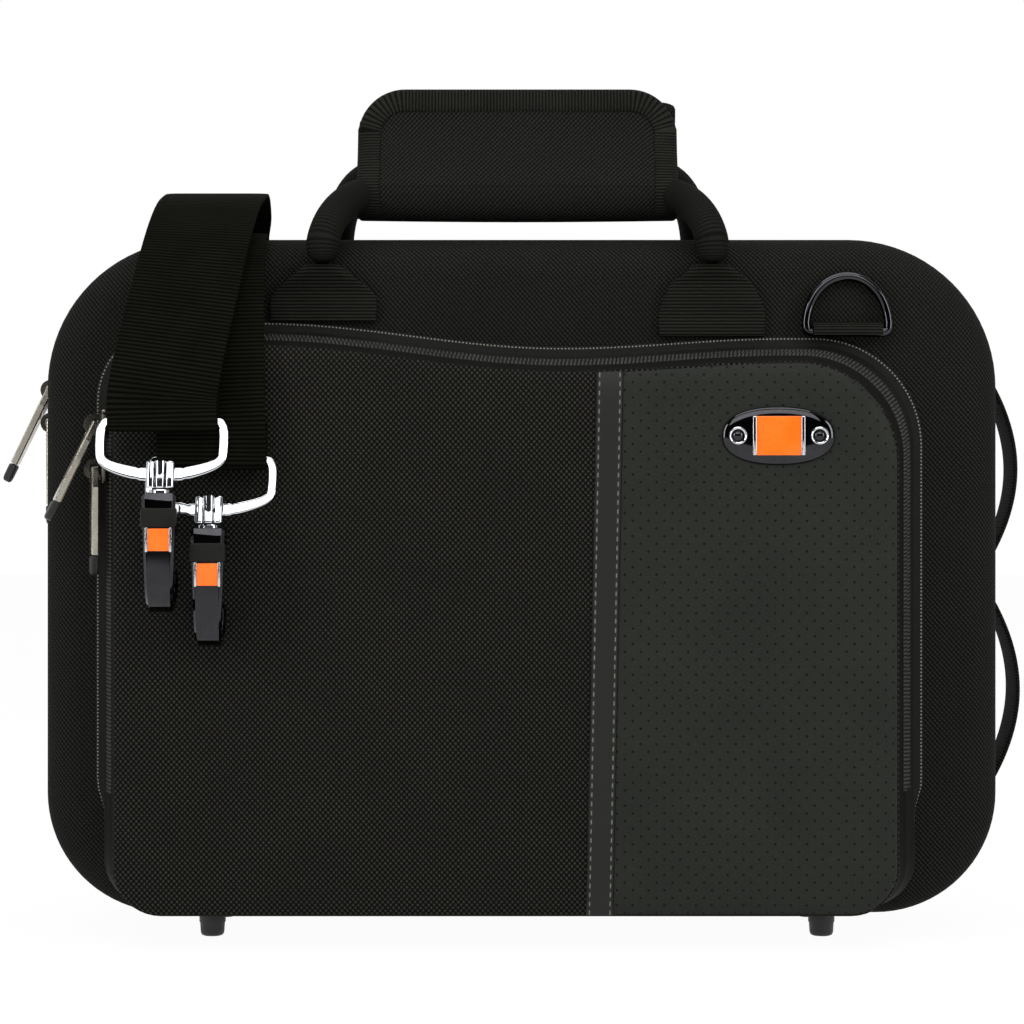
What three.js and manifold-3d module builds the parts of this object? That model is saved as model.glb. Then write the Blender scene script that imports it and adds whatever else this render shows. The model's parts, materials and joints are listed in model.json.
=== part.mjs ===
// A soft clarinet case standing on its feet, closed, with its shoulder strap laid over the top and
// clipped to nothing: two moulded shells on a fabric hinge, a zipped front pocket and a wrap handle.
// Millimetres. x runs to the right, y from the front to the back, z up from the floor. Inside this
// file y = 0 is the plane where lid and base meet; the finished group is moved to centre its outline.
import * as THREE from "three";
import { mergeVertices } from "three/addons/utils/BufferGeometryUtils.js";
import Module from "manifold-3d";

const wasm = await Module();
wasm.setup();

const { sin, cos, tan, atan2, hypot, min, max, sqrt, PI } = Math;
const degree = PI / 180;

// Gaps that every seated, facing or running pair of pieces keeps
const seat = 0.3;
const halfSeat = seat / 2;

// Half size of the blocks that cut a piece off at a plane
const farOut = 400;

// Case shells
const caseWidth = 346;
const caseHeight = 245.5;
const caseBottom = 8.2;
const topRadius = 54;
const bottomRadius = 44;
const edgeRadius = 14;
const sideWall = 8.4;
const faceWall = 4;
const innerEdgeRadius = 8;
const lidDepth = 34;
const baseDepth = 50;
const caseTop = caseBottom + caseHeight;
const caseSide = caseWidth / 2;

// Recess round both rims that holds the zipper tapes and the hinge fabric
const rimWidth = 10.8;
const rimSlope = 1.2;
const rimInset = 4.2;
const tapeThickness = 1.2;
const coilWidth = 2.6;
const coilHeight = 1.1;
const pipingWidth = 2.6;
const pipingHeight = 1.2;
const tapeEndAngle = 45;
const tapeEndGap = 0.6;

// Feet: tapered rubber studs under the walls
const footTopRadius = 4.8;
const footBottomRadius = 4.3;
const footLeftX = 60.3 - caseSide;
const footRightX = caseSide - 63.7;
const lidFootY = 22;
const baseFootY = 27;

// Lining and the shaped tray inside
const liningInset = sideWall + 0.6;
const padThickness = 7;
const padCrown = 2;
const trayTop = 1.4;
const recessDepth = 38;
const recessFillet = 3;
const recessRadius = 7;

// Zipper sliders and their pulls, the same on the case and on the pocket
const sliderLength = 11;
const sliderWidth = 9;
const sliderTailWidth = 6;
const sliderPlate = 1.3;
const sliderFlange = 1.1;
const bridgeInner = 2;
const bridgeBar = 1.8;
const bridgeWidth = 2.4;
const pivotHeight = sliderPlate + bridgeInner + 0.2;
const pullThickness = 2.6;
const pullWidth = 8;
const pullEndWidth = 6.2;
const pullMetalLength = 30.5;
const pullTipLength = 7;
const eyeSlotLength = 4.1;
const eyeBar = 1.8;
const eyeSlotWidth = bridgeWidth + 1.4;
const mainSliderSpacing = 12.2;
const upperPullLean = 26;

// Handle: two loops of covered cord in ribbed webbing tabs, with a wrap grip in two halves
const tubeRadius = 6;
const webbingWidth = 38;
const anchorThickness = 2.4;
const handleX = -1.5;
const anchorX = caseSide - 103.1;
const handlePivotZ = caseTop - 4.7;
const handlePivotOut = 4.8;
const gripLength = 2 * anchorX - 22.8;
const frontTubeZ = caseTop + 18.3;
const rearTubeZ = caseTop + 27.3;
const tubeOffset = 9.2;
const tubeEndX = anchorX - 18.9;
const frontBulbRadius = 10.2;
const rearBulbRadius = 9.3;
const frontFlapHeight = 38.3;
const rearFlapHeight = 26.3;
const rearFlapTilt = 5.6;
const flapThickness = 6;
const gripCornerRadius = 17;
const closureWidth = gripLength - 21;
const closureHeight = 20;
const closureThickness = 1.1;

// Side handle: one webbing sewn down at three places, with two finger loops
const sideWebbing = 25;
const webbingThickness = 1.6;
const sideHandleY = 25;
const sideLoops = [
  { low: caseBottom + caseHeight * 0.5124, high: caseBottom + caseHeight * 0.8098, rise: 12.4 },
  { low: caseBottom + caseHeight * 0.1662, high: caseBottom + caseHeight * 0.4798, rise: 13.3 },
];
const sideHandleEnds = 9;

// D-rings in folded webbing tabs
const ringX = caseSide - 56;
const ringWire = 1.7;
const ringOuterWidth = 33;
const ringOuterHeight = 23.5;
const ringBarRise = 1.1;
const ringLean = 4;
const tabWidth = 25;

// Front pocket
const pocketLeft = 22.5 - caseSide;
const pocketRight = caseSide - 31.2;
const pocketLeanLeft = 6.5;
const pocketLeanRight = 9;
const pocketLeanTop = 7;
const pocketBottom = 12;
const pocketDepth = 24;
const pocketCrown = 4;
const pocketWall = 1.8;
const pocketTopHigh = caseTop - 33.7;
const pocketTopLow = caseTop - 42.7;
const pocketTopRight = caseTop - 39.2;
const pocketHighX = pocketLeft + 55.5;
const pocketLowX = 15;
const pocketRightX = pocketRight - 46.8;
const pocketTopLeftRadius = 26;
const pocketTopRightRadius = 36;
const pocketBottomRadius = 17;
const pocketFlange = 3;
const pocketCrease = 52;
const pocketZipOut = 8.4;
const pocketCoilWidth = 2.4;
const pocketCoilHeight = 0.8;
const trimWidth = 9.6;
const trimBottomX = 23.2;
const trimTopX = 26.8;
const pocketUpperSliderZ = pocketTopHigh - 34.5;
const pocketLowerSliderZ = pocketUpperSliderZ - 16;
const pocketPullLean = 26;

// Badge
const badgeX = pocketRight - 51.9;
const badgeZ = pocketTopRight - 33.5;
const badgeWidth = 39.7;
const badgeHeight = 19.7;
const badgeThickness = 2.4;
const badgeEdge = 0.5;
const inlayWidth = 16;
const inlayHeight = 14;
const inlayDepth = 0.9;
const rivetX = 14.3;
const rivetRadius = 3.2;
const rivetHeight = 1.3;

// Shoulder strap and its swivel hooks
const strapThickness = 1.5;
const strapApexX = 60.2 - caseSide;
const strapBackX = 56.6 - caseSide;
const strapTopEnd = baseDepth - 19;
const strapLoopLength = 151.7;
const strapTail = 14;
const panelFace = -(lidDepth + seat + pocketDepth + pocketCrown);
const hooks = [
  { name: "hook_one", x: 48.7 - caseSide, y: panelFace - 19.9, z: caseTop - 91.4, tilt: 15.5 },
  { name: "hook_two", x: 64.8 - caseSide, y: panelFace - 14.3, z: caseTop - 103.4, tilt: 24 },
];
const frameBar = 1.6;
const frameHeight = 24;
const frameInner = webbingWidth + 1.4;
const hubWidth = 10;
const hubDepth = 7;
const hubHeight = 9.6;
const postRadius = 1.8;
const postLength = 6;
const collarRadius = 3.4;
const collarHeight = 1.3;
const hookWidth = 12;
const hookSpine = 6.2;
const hookBack = 5.4;
const hookRingZ = -33;
const hookRingY = 3.4;
const hookRingOuter = 9.6;
const hookRingInner = 5.6;
const hookTop = -1.6;
const gatePivotY = 2.6;
const gatePivotZ = -13.4;
const gateWidth = 6.4;
const gateReach = 13.8;
const gateThickness = 2.6;
const gatePinRadius = 0.8;
const labelWidth = 7.6;
const labelHeight = 8;
const labelZ = -17.5;
const labelDepth = 0.6;

// Closed meshes

function geometryOf(points, faces) {
  const volume = faces.reduce((sum, [a, b, c]) => sum + tripleProduct(points[a], points[b], points[c]), 0);
  const turned = volume < 0 ? faces.map(([a, b, c]) => [a, c, b]) : faces;
  const geometry = new THREE.BufferGeometry();
  geometry.setAttribute("position", new THREE.Float32BufferAttribute(points.flat(), 3));
  geometry.setIndex(turned.flat());
  return geometry;
}

function tripleProduct([ax, ay, az], [bx, by, bz], [cx, cy, cz]) {
  return ax * (by * cz - bz * cy) + ay * (bz * cx - bx * cz) + az * (bx * cy - by * cx);
}

// Triangles over one flat ring, found in the plane of the ring
function capFaces(ring, first) {
  const at = ring.map((p) => new THREE.Vector3(...p));
  const normal = new THREE.Vector3();
  at.forEach((p, i) => normal.add(new THREE.Vector3().crossVectors(p, at[(i + 1) % at.length])));
  normal.normalize();
  const u = new THREE.Vector3().subVectors(at[1], at[0]).normalize();
  const v = new THREE.Vector3().crossVectors(normal, u);
  const flat = at.map((p) => new THREE.Vector2(p.dot(u), p.dot(v)));
  return THREE.ShapeUtils.triangulateShape(flat, []).map((face) => face.map((i) => i + first));
}

// A skin through rings of equal count, capped at both ends or closed on itself
function loft(rings, loop = false) {
  const count = rings[0].length;
  const faces = [];
  const bands = loop ? rings.length : rings.length - 1;
  for (let band = 0; band < bands; band++) {
    const low = band * count;
    const high = ((band + 1) % rings.length) * count;
    for (let i = 0; i < count; i++) {
      const j = (i + 1) % count;
      faces.push([low + i, low + j, high + j], [low + i, high + j, high + i]);
    }
  }
  if (!loop) {
    const last = rings.length - 1;
    faces.push(...capFaces(rings[0], 0).map(([a, b, c]) => [a, c, b]));
    faces.push(...capFaces(rings[last], last * count));
  }
  return geometryOf(rings.flat(), faces);
}

// A round bar along a path of [x, y, z] points; radiusAt gives its size at each point
function tube(path, radiusAt, sides, loop = false) {
  const points = path.map((p) => new THREE.Vector3(...p));
  const count = points.length;
  let side = null;
  const rings = points.map((point, i) => {
    const before = points[loop ? (i + count - 1) % count : max(i - 1, 0)];
    const after = points[loop ? (i + 1) % count : min(i + 1, count - 1)];
    const along = new THREE.Vector3().subVectors(after, before).normalize();
    const start = side ?? (Math.abs(along.y) < 0.8 ? new THREE.Vector3(0, 1, 0) : new THREE.Vector3(0, 0, 1));
    side = start.clone().addScaledVector(along, -start.dot(along)).normalize();
    const across = new THREE.Vector3().crossVectors(along, side);
    const radius = radiusAt(i);
    return Array.from({ length: sides }, (_, k) => {
      const angle = ((k + 0.5) / sides) * 2 * PI;
      return point.clone().addScaledVector(side, radius * cos(angle))
        .addScaledVector(across, radius * sin(angle)).toArray();
    });
  });
  return loft(rings, loop);
}

// A flat band whose width lies along x; its path is a list of [x, y, z] middle points
function ribbon(path, width, thickness) {
  const rings = path.map(([x, y, z], i) => {
    const before = path[max(i - 1, 0)];
    const after = path[min(i + 1, path.length - 1)];
    const length = hypot(after[1] - before[1], after[2] - before[2]);
    const ny = (-(after[2] - before[2]) / length) * (thickness / 2);
    const nz = ((after[1] - before[1]) / length) * (thickness / 2);
    const half = width / 2;
    return [
      [x - half, y - ny, z - nz],
      [x + half, y - ny, z - nz],
      [x + half, y + ny, z + nz],
      [x - half, y + ny, z + nz],
    ];
  });
  return loft(rings);
}

function box(x0, x1, y0, y1, z0, z1) {
  const middle = [(x0 + x1) / 2, (y0 + y1) / 2, (z0 + z1) / 2];
  return new THREE.BoxGeometry(x1 - x0, y1 - y0, z1 - z0).translate(...middle);
}

// A solid of revolution about z from [radius, z] points that start and end on the axis
function turned(profile, segments) {
  const points = profile.map(([radius, z]) => new THREE.Vector2(radius, z));
  return new THREE.LatheGeometry(points, segments).rotateX(PI / 2);
}

// A rod along x
function pinAlongX(radius, length, y, z, sides) {
  return new THREE.CylinderGeometry(radius, radius, length, sides).rotateZ(PI / 2).translate(0, y, z);
}

function solidOf(geometry) {
  const bare = geometry.clone();
  bare.deleteAttribute("normal");
  bare.deleteAttribute("uv");
  const merged = mergeVertices(bare);
  return new wasm.Manifold(new wasm.Mesh({
    numProp: 3,
    vertProperties: Float32Array.from(merged.attributes.position.array),
    triVerts: Uint32Array.from(merged.index.array),
  }));
}

function geometryFrom(solid) {
  const { vertProperties, triVerts } = solid.getMesh();
  const geometry = new THREE.BufferGeometry();
  geometry.setAttribute("position", new THREE.Float32BufferAttribute(vertProperties, 3));
  geometry.setIndex(Array.from(triVerts));
  return geometry;
}

function join(...geometries) {
  return geometryFrom(geometries.map(solidOf).reduce((sum, solid) => sum.add(solid)));
}

function cut(geometry, ...tools) {
  return geometryFrom(tools.map(solidOf).reduce((left, tool) => left.subtract(tool), solidOf(geometry)));
}

function common(geometry, ...others) {
  return geometryFrom(others.map(solidOf).reduce((left, other) => left.intersect(other), solidOf(geometry)));
}

// Flat outlines

function arc(centreA, centreB, radius, from, to, steps) {
  return Array.from({ length: steps + 1 }, (_, i) => {
    const angle = (from + ((to - from) * i) / steps) * degree;
    return [centreA + radius * cos(angle), centreB + radius * sin(angle)];
  });
}

function roundedRectangle(a0, a1, b0, b1, radius, steps) {
  return [
    ...arc(a0 + radius, b0 + radius, radius, 270, 180, steps),
    ...arc(a0 + radius, b1 - radius, radius, 180, 90, steps),
    ...arc(a1 - radius, b1 - radius, radius, 90, 0, steps),
    ...arc(a1 - radius, b0 + radius, radius, 0, -90, steps),
  ];
}

function shapeOf(outline) {
  return new THREE.Shape(outline.map(([a, b]) => new THREE.Vector2(a, b)));
}

// Settings of an extrusion whose edges are cut back by a bevel of this size
function bevelled(size) {
  return {
    bevelEnabled: size > 0,
    bevelSize: size,
    bevelOffset: -size,
    bevelThickness: size,
    bevelSegments: 1,
  };
}

// Extrudes a (y, z) outline along x, centred on x = 0
function extrudeAlongX(outline, width, bevel) {
  const depth = width - 2 * bevel;
  const upright = new THREE.Matrix4().makeBasis(
    new THREE.Vector3(0, 1, 0), new THREE.Vector3(0, 0, 1), new THREE.Vector3(1, 0, 0));
  return new THREE.ExtrudeGeometry(shapeOf(outline), { depth, ...bevelled(bevel) })
    .translate(0, 0, -depth / 2).applyMatrix4(upright);
}

// Extrudes an (x, z) outline towards the front, with its back face at y = back
function extrudeForward(outline, depth, back, bevel) {
  const settings = { depth: depth - bevel, ...bevelled(bevel) };
  const geometry = new THREE.ExtrudeGeometry(shapeOf(outline), settings)
    .rotateX(PI / 2).translate(0, back, 0);
  if (bevel === 0) return geometry;
  return common(geometry, box(-farOut, farOut, back - depth - 1, back, -farOut, farOut));
}

// Outline of the case

const cornerSteps = 8;
const topCornerX = caseSide - topRadius;
const topCornerZ = caseTop - topRadius;
const bottomCornerX = caseSide - bottomRadius;
const bottomCornerZ = caseBottom + bottomRadius;

// The stretch that the zipper follows: up the left side, over the top and down the right side
function zipStretch(inset) {
  const high = topRadius - inset;
  const low = bottomRadius - inset;
  return [
    ...arc(-bottomCornerX, bottomCornerZ, low, 180 + tapeEndAngle, 180, cornerSteps / 2),
    ...arc(-topCornerX, topCornerZ, high, 180, 90, cornerSteps),
    ...arc(topCornerX, topCornerZ, high, 90, 0, cornerSteps),
    ...arc(bottomCornerX, bottomCornerZ, low, 0, -tapeEndAngle, cornerSteps / 2),
  ];
}

// The stretch along the bottom that the hinge fabric follows
function hingeStretch(inset, start = tapeEndAngle + tapeEndGap) {
  const radius = bottomRadius - inset;
  return [
    ...arc(bottomCornerX, bottomCornerZ, radius, -start, -90, cornerSteps / 2),
    ...arc(-bottomCornerX, bottomCornerZ, radius, 270, 180 + start, cornerSteps / 2),
  ];
}

function caseLoop(inset, y) {
  const bottom = hingeStretch(inset, tapeEndAngle).slice(1, -1);
  return [...zipStretch(inset), ...bottom].map(([x, z]) => [x, y, z]);
}

// Carries a closed section of [height over the wall, y] points along a stretch of the outline
function alongStretch(stretch, section) {
  const lines = section.map(([height]) => stretch(-height));
  return loft(lines[0].map((_, i) => section.map(([, y], k) => [lines[k][i][0], y, lines[k][i][1]])));
}

// Insets and depths of a rounded edge, from the face to the side
function edgeSteps(radius, depth, steps, baseInset = 0) {
  return arc(0, 0, radius, 90, 0, steps)
    .map(([across, out]) => [baseInset + radius - across, depth - radius + out]);
}

// Shells: side is -1 for the lid and +1 for the base
function caseShell(depth, side) {
  const outer = [
    ...edgeSteps(edgeRadius, depth, 4),
    [0, rimWidth + rimSlope],
    [rimInset, rimWidth],
    [rimInset, halfSeat],
  ];
  const inner = edgeSteps(innerEdgeRadius, depth - faceWall, 3, sideWall).reverse();
  return loft([...outer, [sideWall, halfSeat], ...inner].map(([inset, y]) => caseLoop(inset, side * y)));
}

// Zipper tape with its piping bead on the outside and half of the coil at the parting line
function zipperTape(side) {
  const floor = -rimInset + seat;
  const face = floor + tapeThickness;
  const coil = face + coilHeight;
  const edge = rimWidth - seat;
  const section = [
    [floor, halfSeat],
    [coil - 0.4, halfSeat],
    [coil, coilWidth / 2],
    [coil - 0.4, coilWidth],
    [face, coilWidth + 0.4],
    [face, edge - pipingWidth],
    [face + pipingHeight * 0.8, edge - pipingWidth * 0.8],
    [face + pipingHeight, edge - pipingWidth * 0.5],
    [face + pipingHeight * 0.6, edge - pipingWidth * 0.12],
    [floor, edge],
  ];
  return alongStretch(zipStretch, section.map(([height, y]) => [height, side * y]));
}

function hingeFabric(side) {
  const floor = -rimInset + seat;
  const section = [
    [floor, halfSeat],
    [floor + tapeThickness, halfSeat],
    [floor + tapeThickness, rimWidth - seat],
    [floor, rimWidth - seat],
  ];
  return alongStretch(hingeStretch, section.map(([height, y]) => [height, side * y]));
}

function foot(x, y) {
  const top = caseBottom - seat;
  const rim = 1;
  const profile = [
    [0, 0], [footBottomRadius - rim, 0], [footBottomRadius, rim], [footTopRadius, top], [0, top],
  ];
  return turned(profile, 24).translate(x, y, 0);
}

// Interior

function lidPad() {
  const back = lidDepth - faceWall - seat;
  const front = back - padThickness;
  const rings = [
    ...edgeSteps(innerEdgeRadius, back, 3, liningInset).filter(([, y]) => y > front + 1.5),
    [liningInset, front + 1.5],
    [liningInset + 2, front],
    [liningInset + 30, front - padCrown],
  ];
  return loft(rings.map(([inset, y]) => caseLoop(inset, -y)));
}

// A round-bottomed recess that opens towards the front
function recess({ x0, x1, z0, z1 }) {
  const floor = edgeSteps(recessFillet, recessDepth, 3).reverse();
  const steps = [[0, trayTop - 2], [0, recessDepth - recessFillet], ...floor];
  return loft(steps.map(([inset, y]) => {
    const radius = recessRadius - inset;
    const outline = roundedRectangle(x0 + inset, x1 - inset, z0 + inset, z1 - inset, radius, 4);
    return outline.map(([x, z]) => [x, y, z]);
  }));
}

// The bell lies on its side: a wide mouth that narrows to its socket
function bellRecess({ x0, x1, zMiddle, mouth, socket }) {
  const stations = [0, 0.18, 0.4, 0.65, 1];
  const rings = stations.map((t) => {
    const x = x1 + (x0 - x1) * t;
    const radius = socket + (mouth - socket) * (1 - t) ** 2.2;
    const depth = trayTop + recessDepth;
    const floor = [...arc(depth - radius, zMiddle, radius, 90, -90, 10)].map(([y, z]) => [x, y, z]);
    return [[x, trayTop - 2, zMiddle + radius], ...floor, [x, trayTop - 2, zMiddle - radius]];
  });
  return loft(rings);
}

const jointsX = 15 - caseSide;
const lowerJointZ = caseBottom + 21.8;
const upperJointZ = lowerJointZ + 60;
const mouthpieceZ = caseTop - 103.7;
const barrelZ = caseTop - 53.7;
const trayRecesses = {
  lowerJoint: { x0: jointsX, x1: jointsX + 258, z0: lowerJointZ, z1: lowerJointZ + 44 },
  upperJoint: { x0: jointsX, x1: jointsX + 242, z0: upperJointZ, z1: upperJointZ + 40 },
  mouthpiece: { x0: -46, x1: 46, z0: mouthpieceZ, z1: mouthpieceZ + 36 },
  barrel: { x0: -46, x1: 26, z0: barrelZ, z1: barrelZ + 36 },
  accessories: { x0: jointsX + 6, x1: -62, z0: mouthpieceZ, z1: mouthpieceZ + 76 },
};
const bell = { x0: 60, x1: caseSide - 18, zMiddle: caseTop - 71.7, mouth: 36, socket: 22 };

function tray() {
  const back = baseDepth - faceWall - seat;
  const rings = [...edgeSteps(innerEdgeRadius, back, 3, liningInset), [liningInset, trayTop]];
  const block = loft(rings.map(([inset, y]) => caseLoop(inset, y)));
  return cut(block, ...Object.values(trayRecesses).map(recess), bellRecess(bell));
}

// Handle

// Distance of the side wall from the middle at height z
function wallX(z) {
  const drop = max(bottomCornerZ - z, 0);
  return bottomCornerX + sqrt(bottomRadius ** 2 - drop ** 2);
}

function sideHandle() {
  const rest = seat + webbingThickness / 2;
  const bow = ({ low, high, rise }) => Array.from({ length: 13 }, (_, i) => {
    const z = high + ((low - high) * i) / 12;
    return [wallX(z) + rest + rise * sin((PI * i) / 12) ** 0.8, z];
  });
  const from = sideLoops[0].high + sideHandleEnds;
  const to = sideLoops[1].low - sideHandleEnds;
  const line = [[wallX(from) + rest, from], ...sideLoops.flatMap(bow), [wallX(to) + rest, to]];
  return ribbon(line.map(([x, z]) => [0, x, z]), sideWebbing, webbingThickness)
    .rotateZ(-PI / 2).translate(0, sideHandleY, 0);
}

// Webbing tab, flat on the wall below and gathered round the cord above; side is -1 in front, +1 behind
function handleAnchor(x, side, bottom) {
  const face = side < 0 ? lidDepth : baseDepth;
  const flat = face + seat + anchorThickness / 2;
  const top = handlePivotZ - tubeRadius - seat;
  const out = face + handlePivotOut;
  const stations = [
    { z: bottom, half: webbingWidth / 2, thick: anchorThickness / 2, y: flat, square: 0.3 },
    { z: bottom + 8.4, half: webbingWidth / 2, thick: anchorThickness / 2, y: flat, square: 0.3 },
    { z: top - 7, half: webbingWidth * 0.4, thick: anchorThickness * 0.8, y: flat + 1, square: 0.45 },
    { z: top - 3, half: tubeRadius * 1.7, thick: tubeRadius * 0.62, y: out - 0.9, square: 0.7 },
    { z: top, half: tubeRadius * 1.15, thick: tubeRadius * 0.85, y: out, square: 0.95 },
  ];
  const sides = 16;
  return loft(stations.map(({ z, half, thick, y, square }) => Array.from({ length: sides }, (_, k) => {
    const angle = ((k + 0.5) / sides) * 2 * PI;
    const bend = (value) => Math.sign(value) * Math.abs(value) ** square;
    return [x + half * bend(cos(angle)), side * (y + thick * bend(sin(angle))), z];
  })));
}

// The covered cord: out of one tab, straight through the grip, and back into the other tab
function handleLoop(side, face, tubeZ, bow, swell = 0) {
  const out = face + handlePivotOut;
  const climb = tubeZ - handlePivotZ;
  const curve = new THREE.CubicBezierCurve3(
    new THREE.Vector3(anchorX, out, handlePivotZ + 2),
    new THREE.Vector3(anchorX + bow, out - 2.8, handlePivotZ + climb * 0.6),
    new THREE.Vector3(anchorX - 7 + bow, tubeOffset + 6, tubeZ),
    new THREE.Vector3(tubeEndX, tubeOffset, tubeZ),
  );
  const stub = [0.94, 0.6].map((share) => [anchorX, out, handlePivotZ - tubeRadius * share]);
  const leg = [...stub, ...curve.getPoints(7).map((point) => point.toArray())];
  const radii = leg.map((_, i) => tubeRadius * ([0.3, 0.8][i] ?? 1) + swell);
  const right = leg.map(([x, y, z]) => [x, side * y, z]);
  const left = leg.map(([x, y, z]) => [-x, side * y, z]).reverse();
  const sizes = [...radii, ...radii.slice().reverse()];
  return tube([...right, ...left], (i) => sizes[i], 12).translate(handleX, 0, 0);
}

// Half of the wrap: a bulb round the cord that thins into a flap up to the hook-and-loop closure
function gripHalf({ side, tubeZ, bulbRadius, flap, topEdge, cord }) {
  const meeting = seat + closureThickness + halfSeat;
  const top = tubeZ + flap;
  const neck = tubeZ + flap * 0.25;
  const outline = [
    [meeting, top - 0.8],
    [meeting + 1.2, top],
    [meeting + flapThickness - 1.6, top - 0.3],
    [meeting + flapThickness, top - 2.6],
    [meeting + flapThickness + 0.9, neck],
    ...arc(tubeOffset, tubeZ, bulbRadius, 38, -118, 10),
    [meeting, tubeZ - bulbRadius * 0.62],
  ];
  const wrap = extrudeAlongX(outline.map(([y, z]) => [side * y, z]), gripLength, 1).translate(handleX, 0, 0);
  const half = gripLength / 2;
  const face = [...topEdge(half, top), [half, tubeZ - 2 * bulbRadius], [-half, tubeZ - 2 * bulbRadius]];
  const mask = extrudeForward(face, 4 * bulbRadius, 2 * bulbRadius, 0).translate(handleX, 0, 0);
  return common(cut(wrap, cord), mask);
}

// The front flap has round corners, and the rear flap is sewn a little askew
function roundTop(half, top) {
  const radius = gripCornerRadius;
  return [
    ...arc(radius - half, top - radius, radius, 180, 90, 6),
    ...arc(half - radius, top - radius, radius, 90, 0, 6),
  ];
}

function slantingTop(half, top) {
  return [[-half, top - rearFlapTilt], [half, top]];
}

function closureStrip(side) {
  const high = rearTubeZ + rearFlapHeight - rearFlapTilt - 2;
  const faces = [side * halfSeat, side * (halfSeat + closureThickness)];
  const half = closureWidth / 2;
  return box(handleX - half, handleX + half, min(...faces), max(...faces), high - closureHeight, high);
}

// D-ring: a straight bar inside its tab and a bow that leans on the lid
const ringPivotY = -(lidDepth + seat + webbingThickness + seat + ringWire);

// Lowest height on the lid that clears the pocket's flange between two widths
function aboveFlange(x, width) {
  return max(pocketTop(x - width / 2), pocketTop(x + width / 2)) + pocketFlange + seat;
}

function ringBarZ(x) {
  return aboveFlange(x, tabWidth) + ringBarRise;
}

function dRing(x) {
  const half = ringOuterWidth / 2 - ringWire;
  const height = ringOuterHeight - 2 * ringWire;
  const bow = arc(0, 0, 1, 0, 180, 10).map(([a, b]) => [a * half, 2.5 + b * (height - 2.5)]);
  const line = [[half - 1, 0], ...bow, [-half + 1, 0]];
  const slope = tan(ringLean * degree);
  const leaning = line.map(([across, up]) => [x + across, ringPivotY + up * slope, ringBarZ(x) + up]);
  return tube(leaning, () => ringWire, 8, true);
}

// Webbing folded over the bar of the ring, both legs ending above the pocket
function ringTab(x) {
  const fold = ringWire + seat + webbingThickness / 2;
  const bottom = aboveFlange(x, tabWidth);
  const over = arc(ringPivotY, ringBarZ(x), fold, 0, 180, 6);
  const line = [[ringPivotY + fold, bottom], ...over, [ringPivotY - fold, bottom]];
  return ribbon(line.map(([y, z]) => [x, y, z]), tabWidth, webbingThickness);
}

// Pocket

// Top edge of the pocket on the lid: high on the left, lowest in the middle
function pocketTop(x) {
  const wave = (from, to, high, low) => {
    const share = min(max((x - from) / (to - from), 0), 1);
    return low + ((high - low) * (1 + cos(PI * share))) / 2;
  };
  return x < pocketLowX
    ? wave(pocketHighX, pocketLowX, pocketTopHigh, pocketTopLow)
    : wave(pocketLowX, pocketRightX, pocketTopLow, pocketTopRight);
}

const pocketBack = -(lidDepth + seat);
const pocketFront = pocketBack - pocketDepth;

// Outline at depth y, which draws in towards the front; inset moves it inwards
function pocketRing(inset, y) {
  const lean = min(max((pocketBack - y) / pocketDepth, 0), 1);
  const left = pocketLeft + pocketLeanLeft * lean + inset;
  const right = pocketRight - pocketLeanRight * lean - inset;
  const drop = pocketLeanTop * lean + inset;
  const low = pocketBottom + inset;
  const radius = (value) => max(value - inset, 2);
  const [topLeft, topRight] = [pocketTopLeftRadius, pocketTopRightRadius].map(radius);
  const bottom = radius(pocketBottomRadius);
  const from = left + topLeft;
  const to = right - topRight;
  const edge = Array.from({ length: 9 }, (_, i) => from + ((to - from) * (i + 1)) / 10)
    .map((x) => [x, pocketTop(x) - drop]);
  const outline = [
    ...arc(left + bottom, low + bottom, bottom, 270, 180, 4),
    ...arc(from, pocketTop(from) - drop - topLeft, topLeft, 180, 90, 5),
    ...edge,
    ...arc(to, pocketTop(to) - drop - topRight, topRight, 90, 0, 8),
    ...arc(right - bottom, low + bottom, bottom, 0, -90, 4),
  ];
  return outline.map(([x, z]) => [x, y, z]);
}

function pocketVolume(inset, back) {
  const front = pocketFront + inset;
  return loft([
    pocketRing(inset, back),
    pocketRing(inset, pocketBack),
    pocketRing(inset, front),
    pocketRing(inset + 1.4, front - pocketCrown * 0.5),
    pocketRing(inset + 6, front - pocketCrown * 0.8),
    pocketRing(inset + 20, front - pocketCrown),
  ]);
}

const pocketBag = cut(pocketVolume(0, pocketBack + 0.01), pocketVolume(pocketWall, pocketBack + 5));

function band(y0, y1, z0, z1) {
  return box(-farOut, farOut, y0, y1, z0, z1);
}

// A slab with slanting sides, from the crease to above the pocket
function slab(lowX0, lowX1, highX0, highX1) {
  const [low, high] = [pocketCrease + seat, pocketTopHigh + 20];
  const [front, back] = [pocketFront - 10, pocketFront - halfSeat];
  return loft([
    [[lowX0, front, low], [lowX1, front, low], [lowX1, back, low], [lowX0, back, low]],
    [[highX0, front, high], [highX1, front, high], [highX1, back, high], [highX0, back, high]],
  ]);
}

// A low ridge round the gusset, part of the pocket's zipper coil
function coilRidge(y0, y1) {
  return cut(
    loft([pocketRing(-pocketCoilHeight, y0), pocketRing(-pocketCoilHeight, y1)]),
    loft([pocketRing(pocketWall / 2, y0 + 1), pocketRing(pocketWall / 2, y1 - 1)]),
  );
}

const pocketZipY = pocketBack - pocketZipOut;

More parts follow.
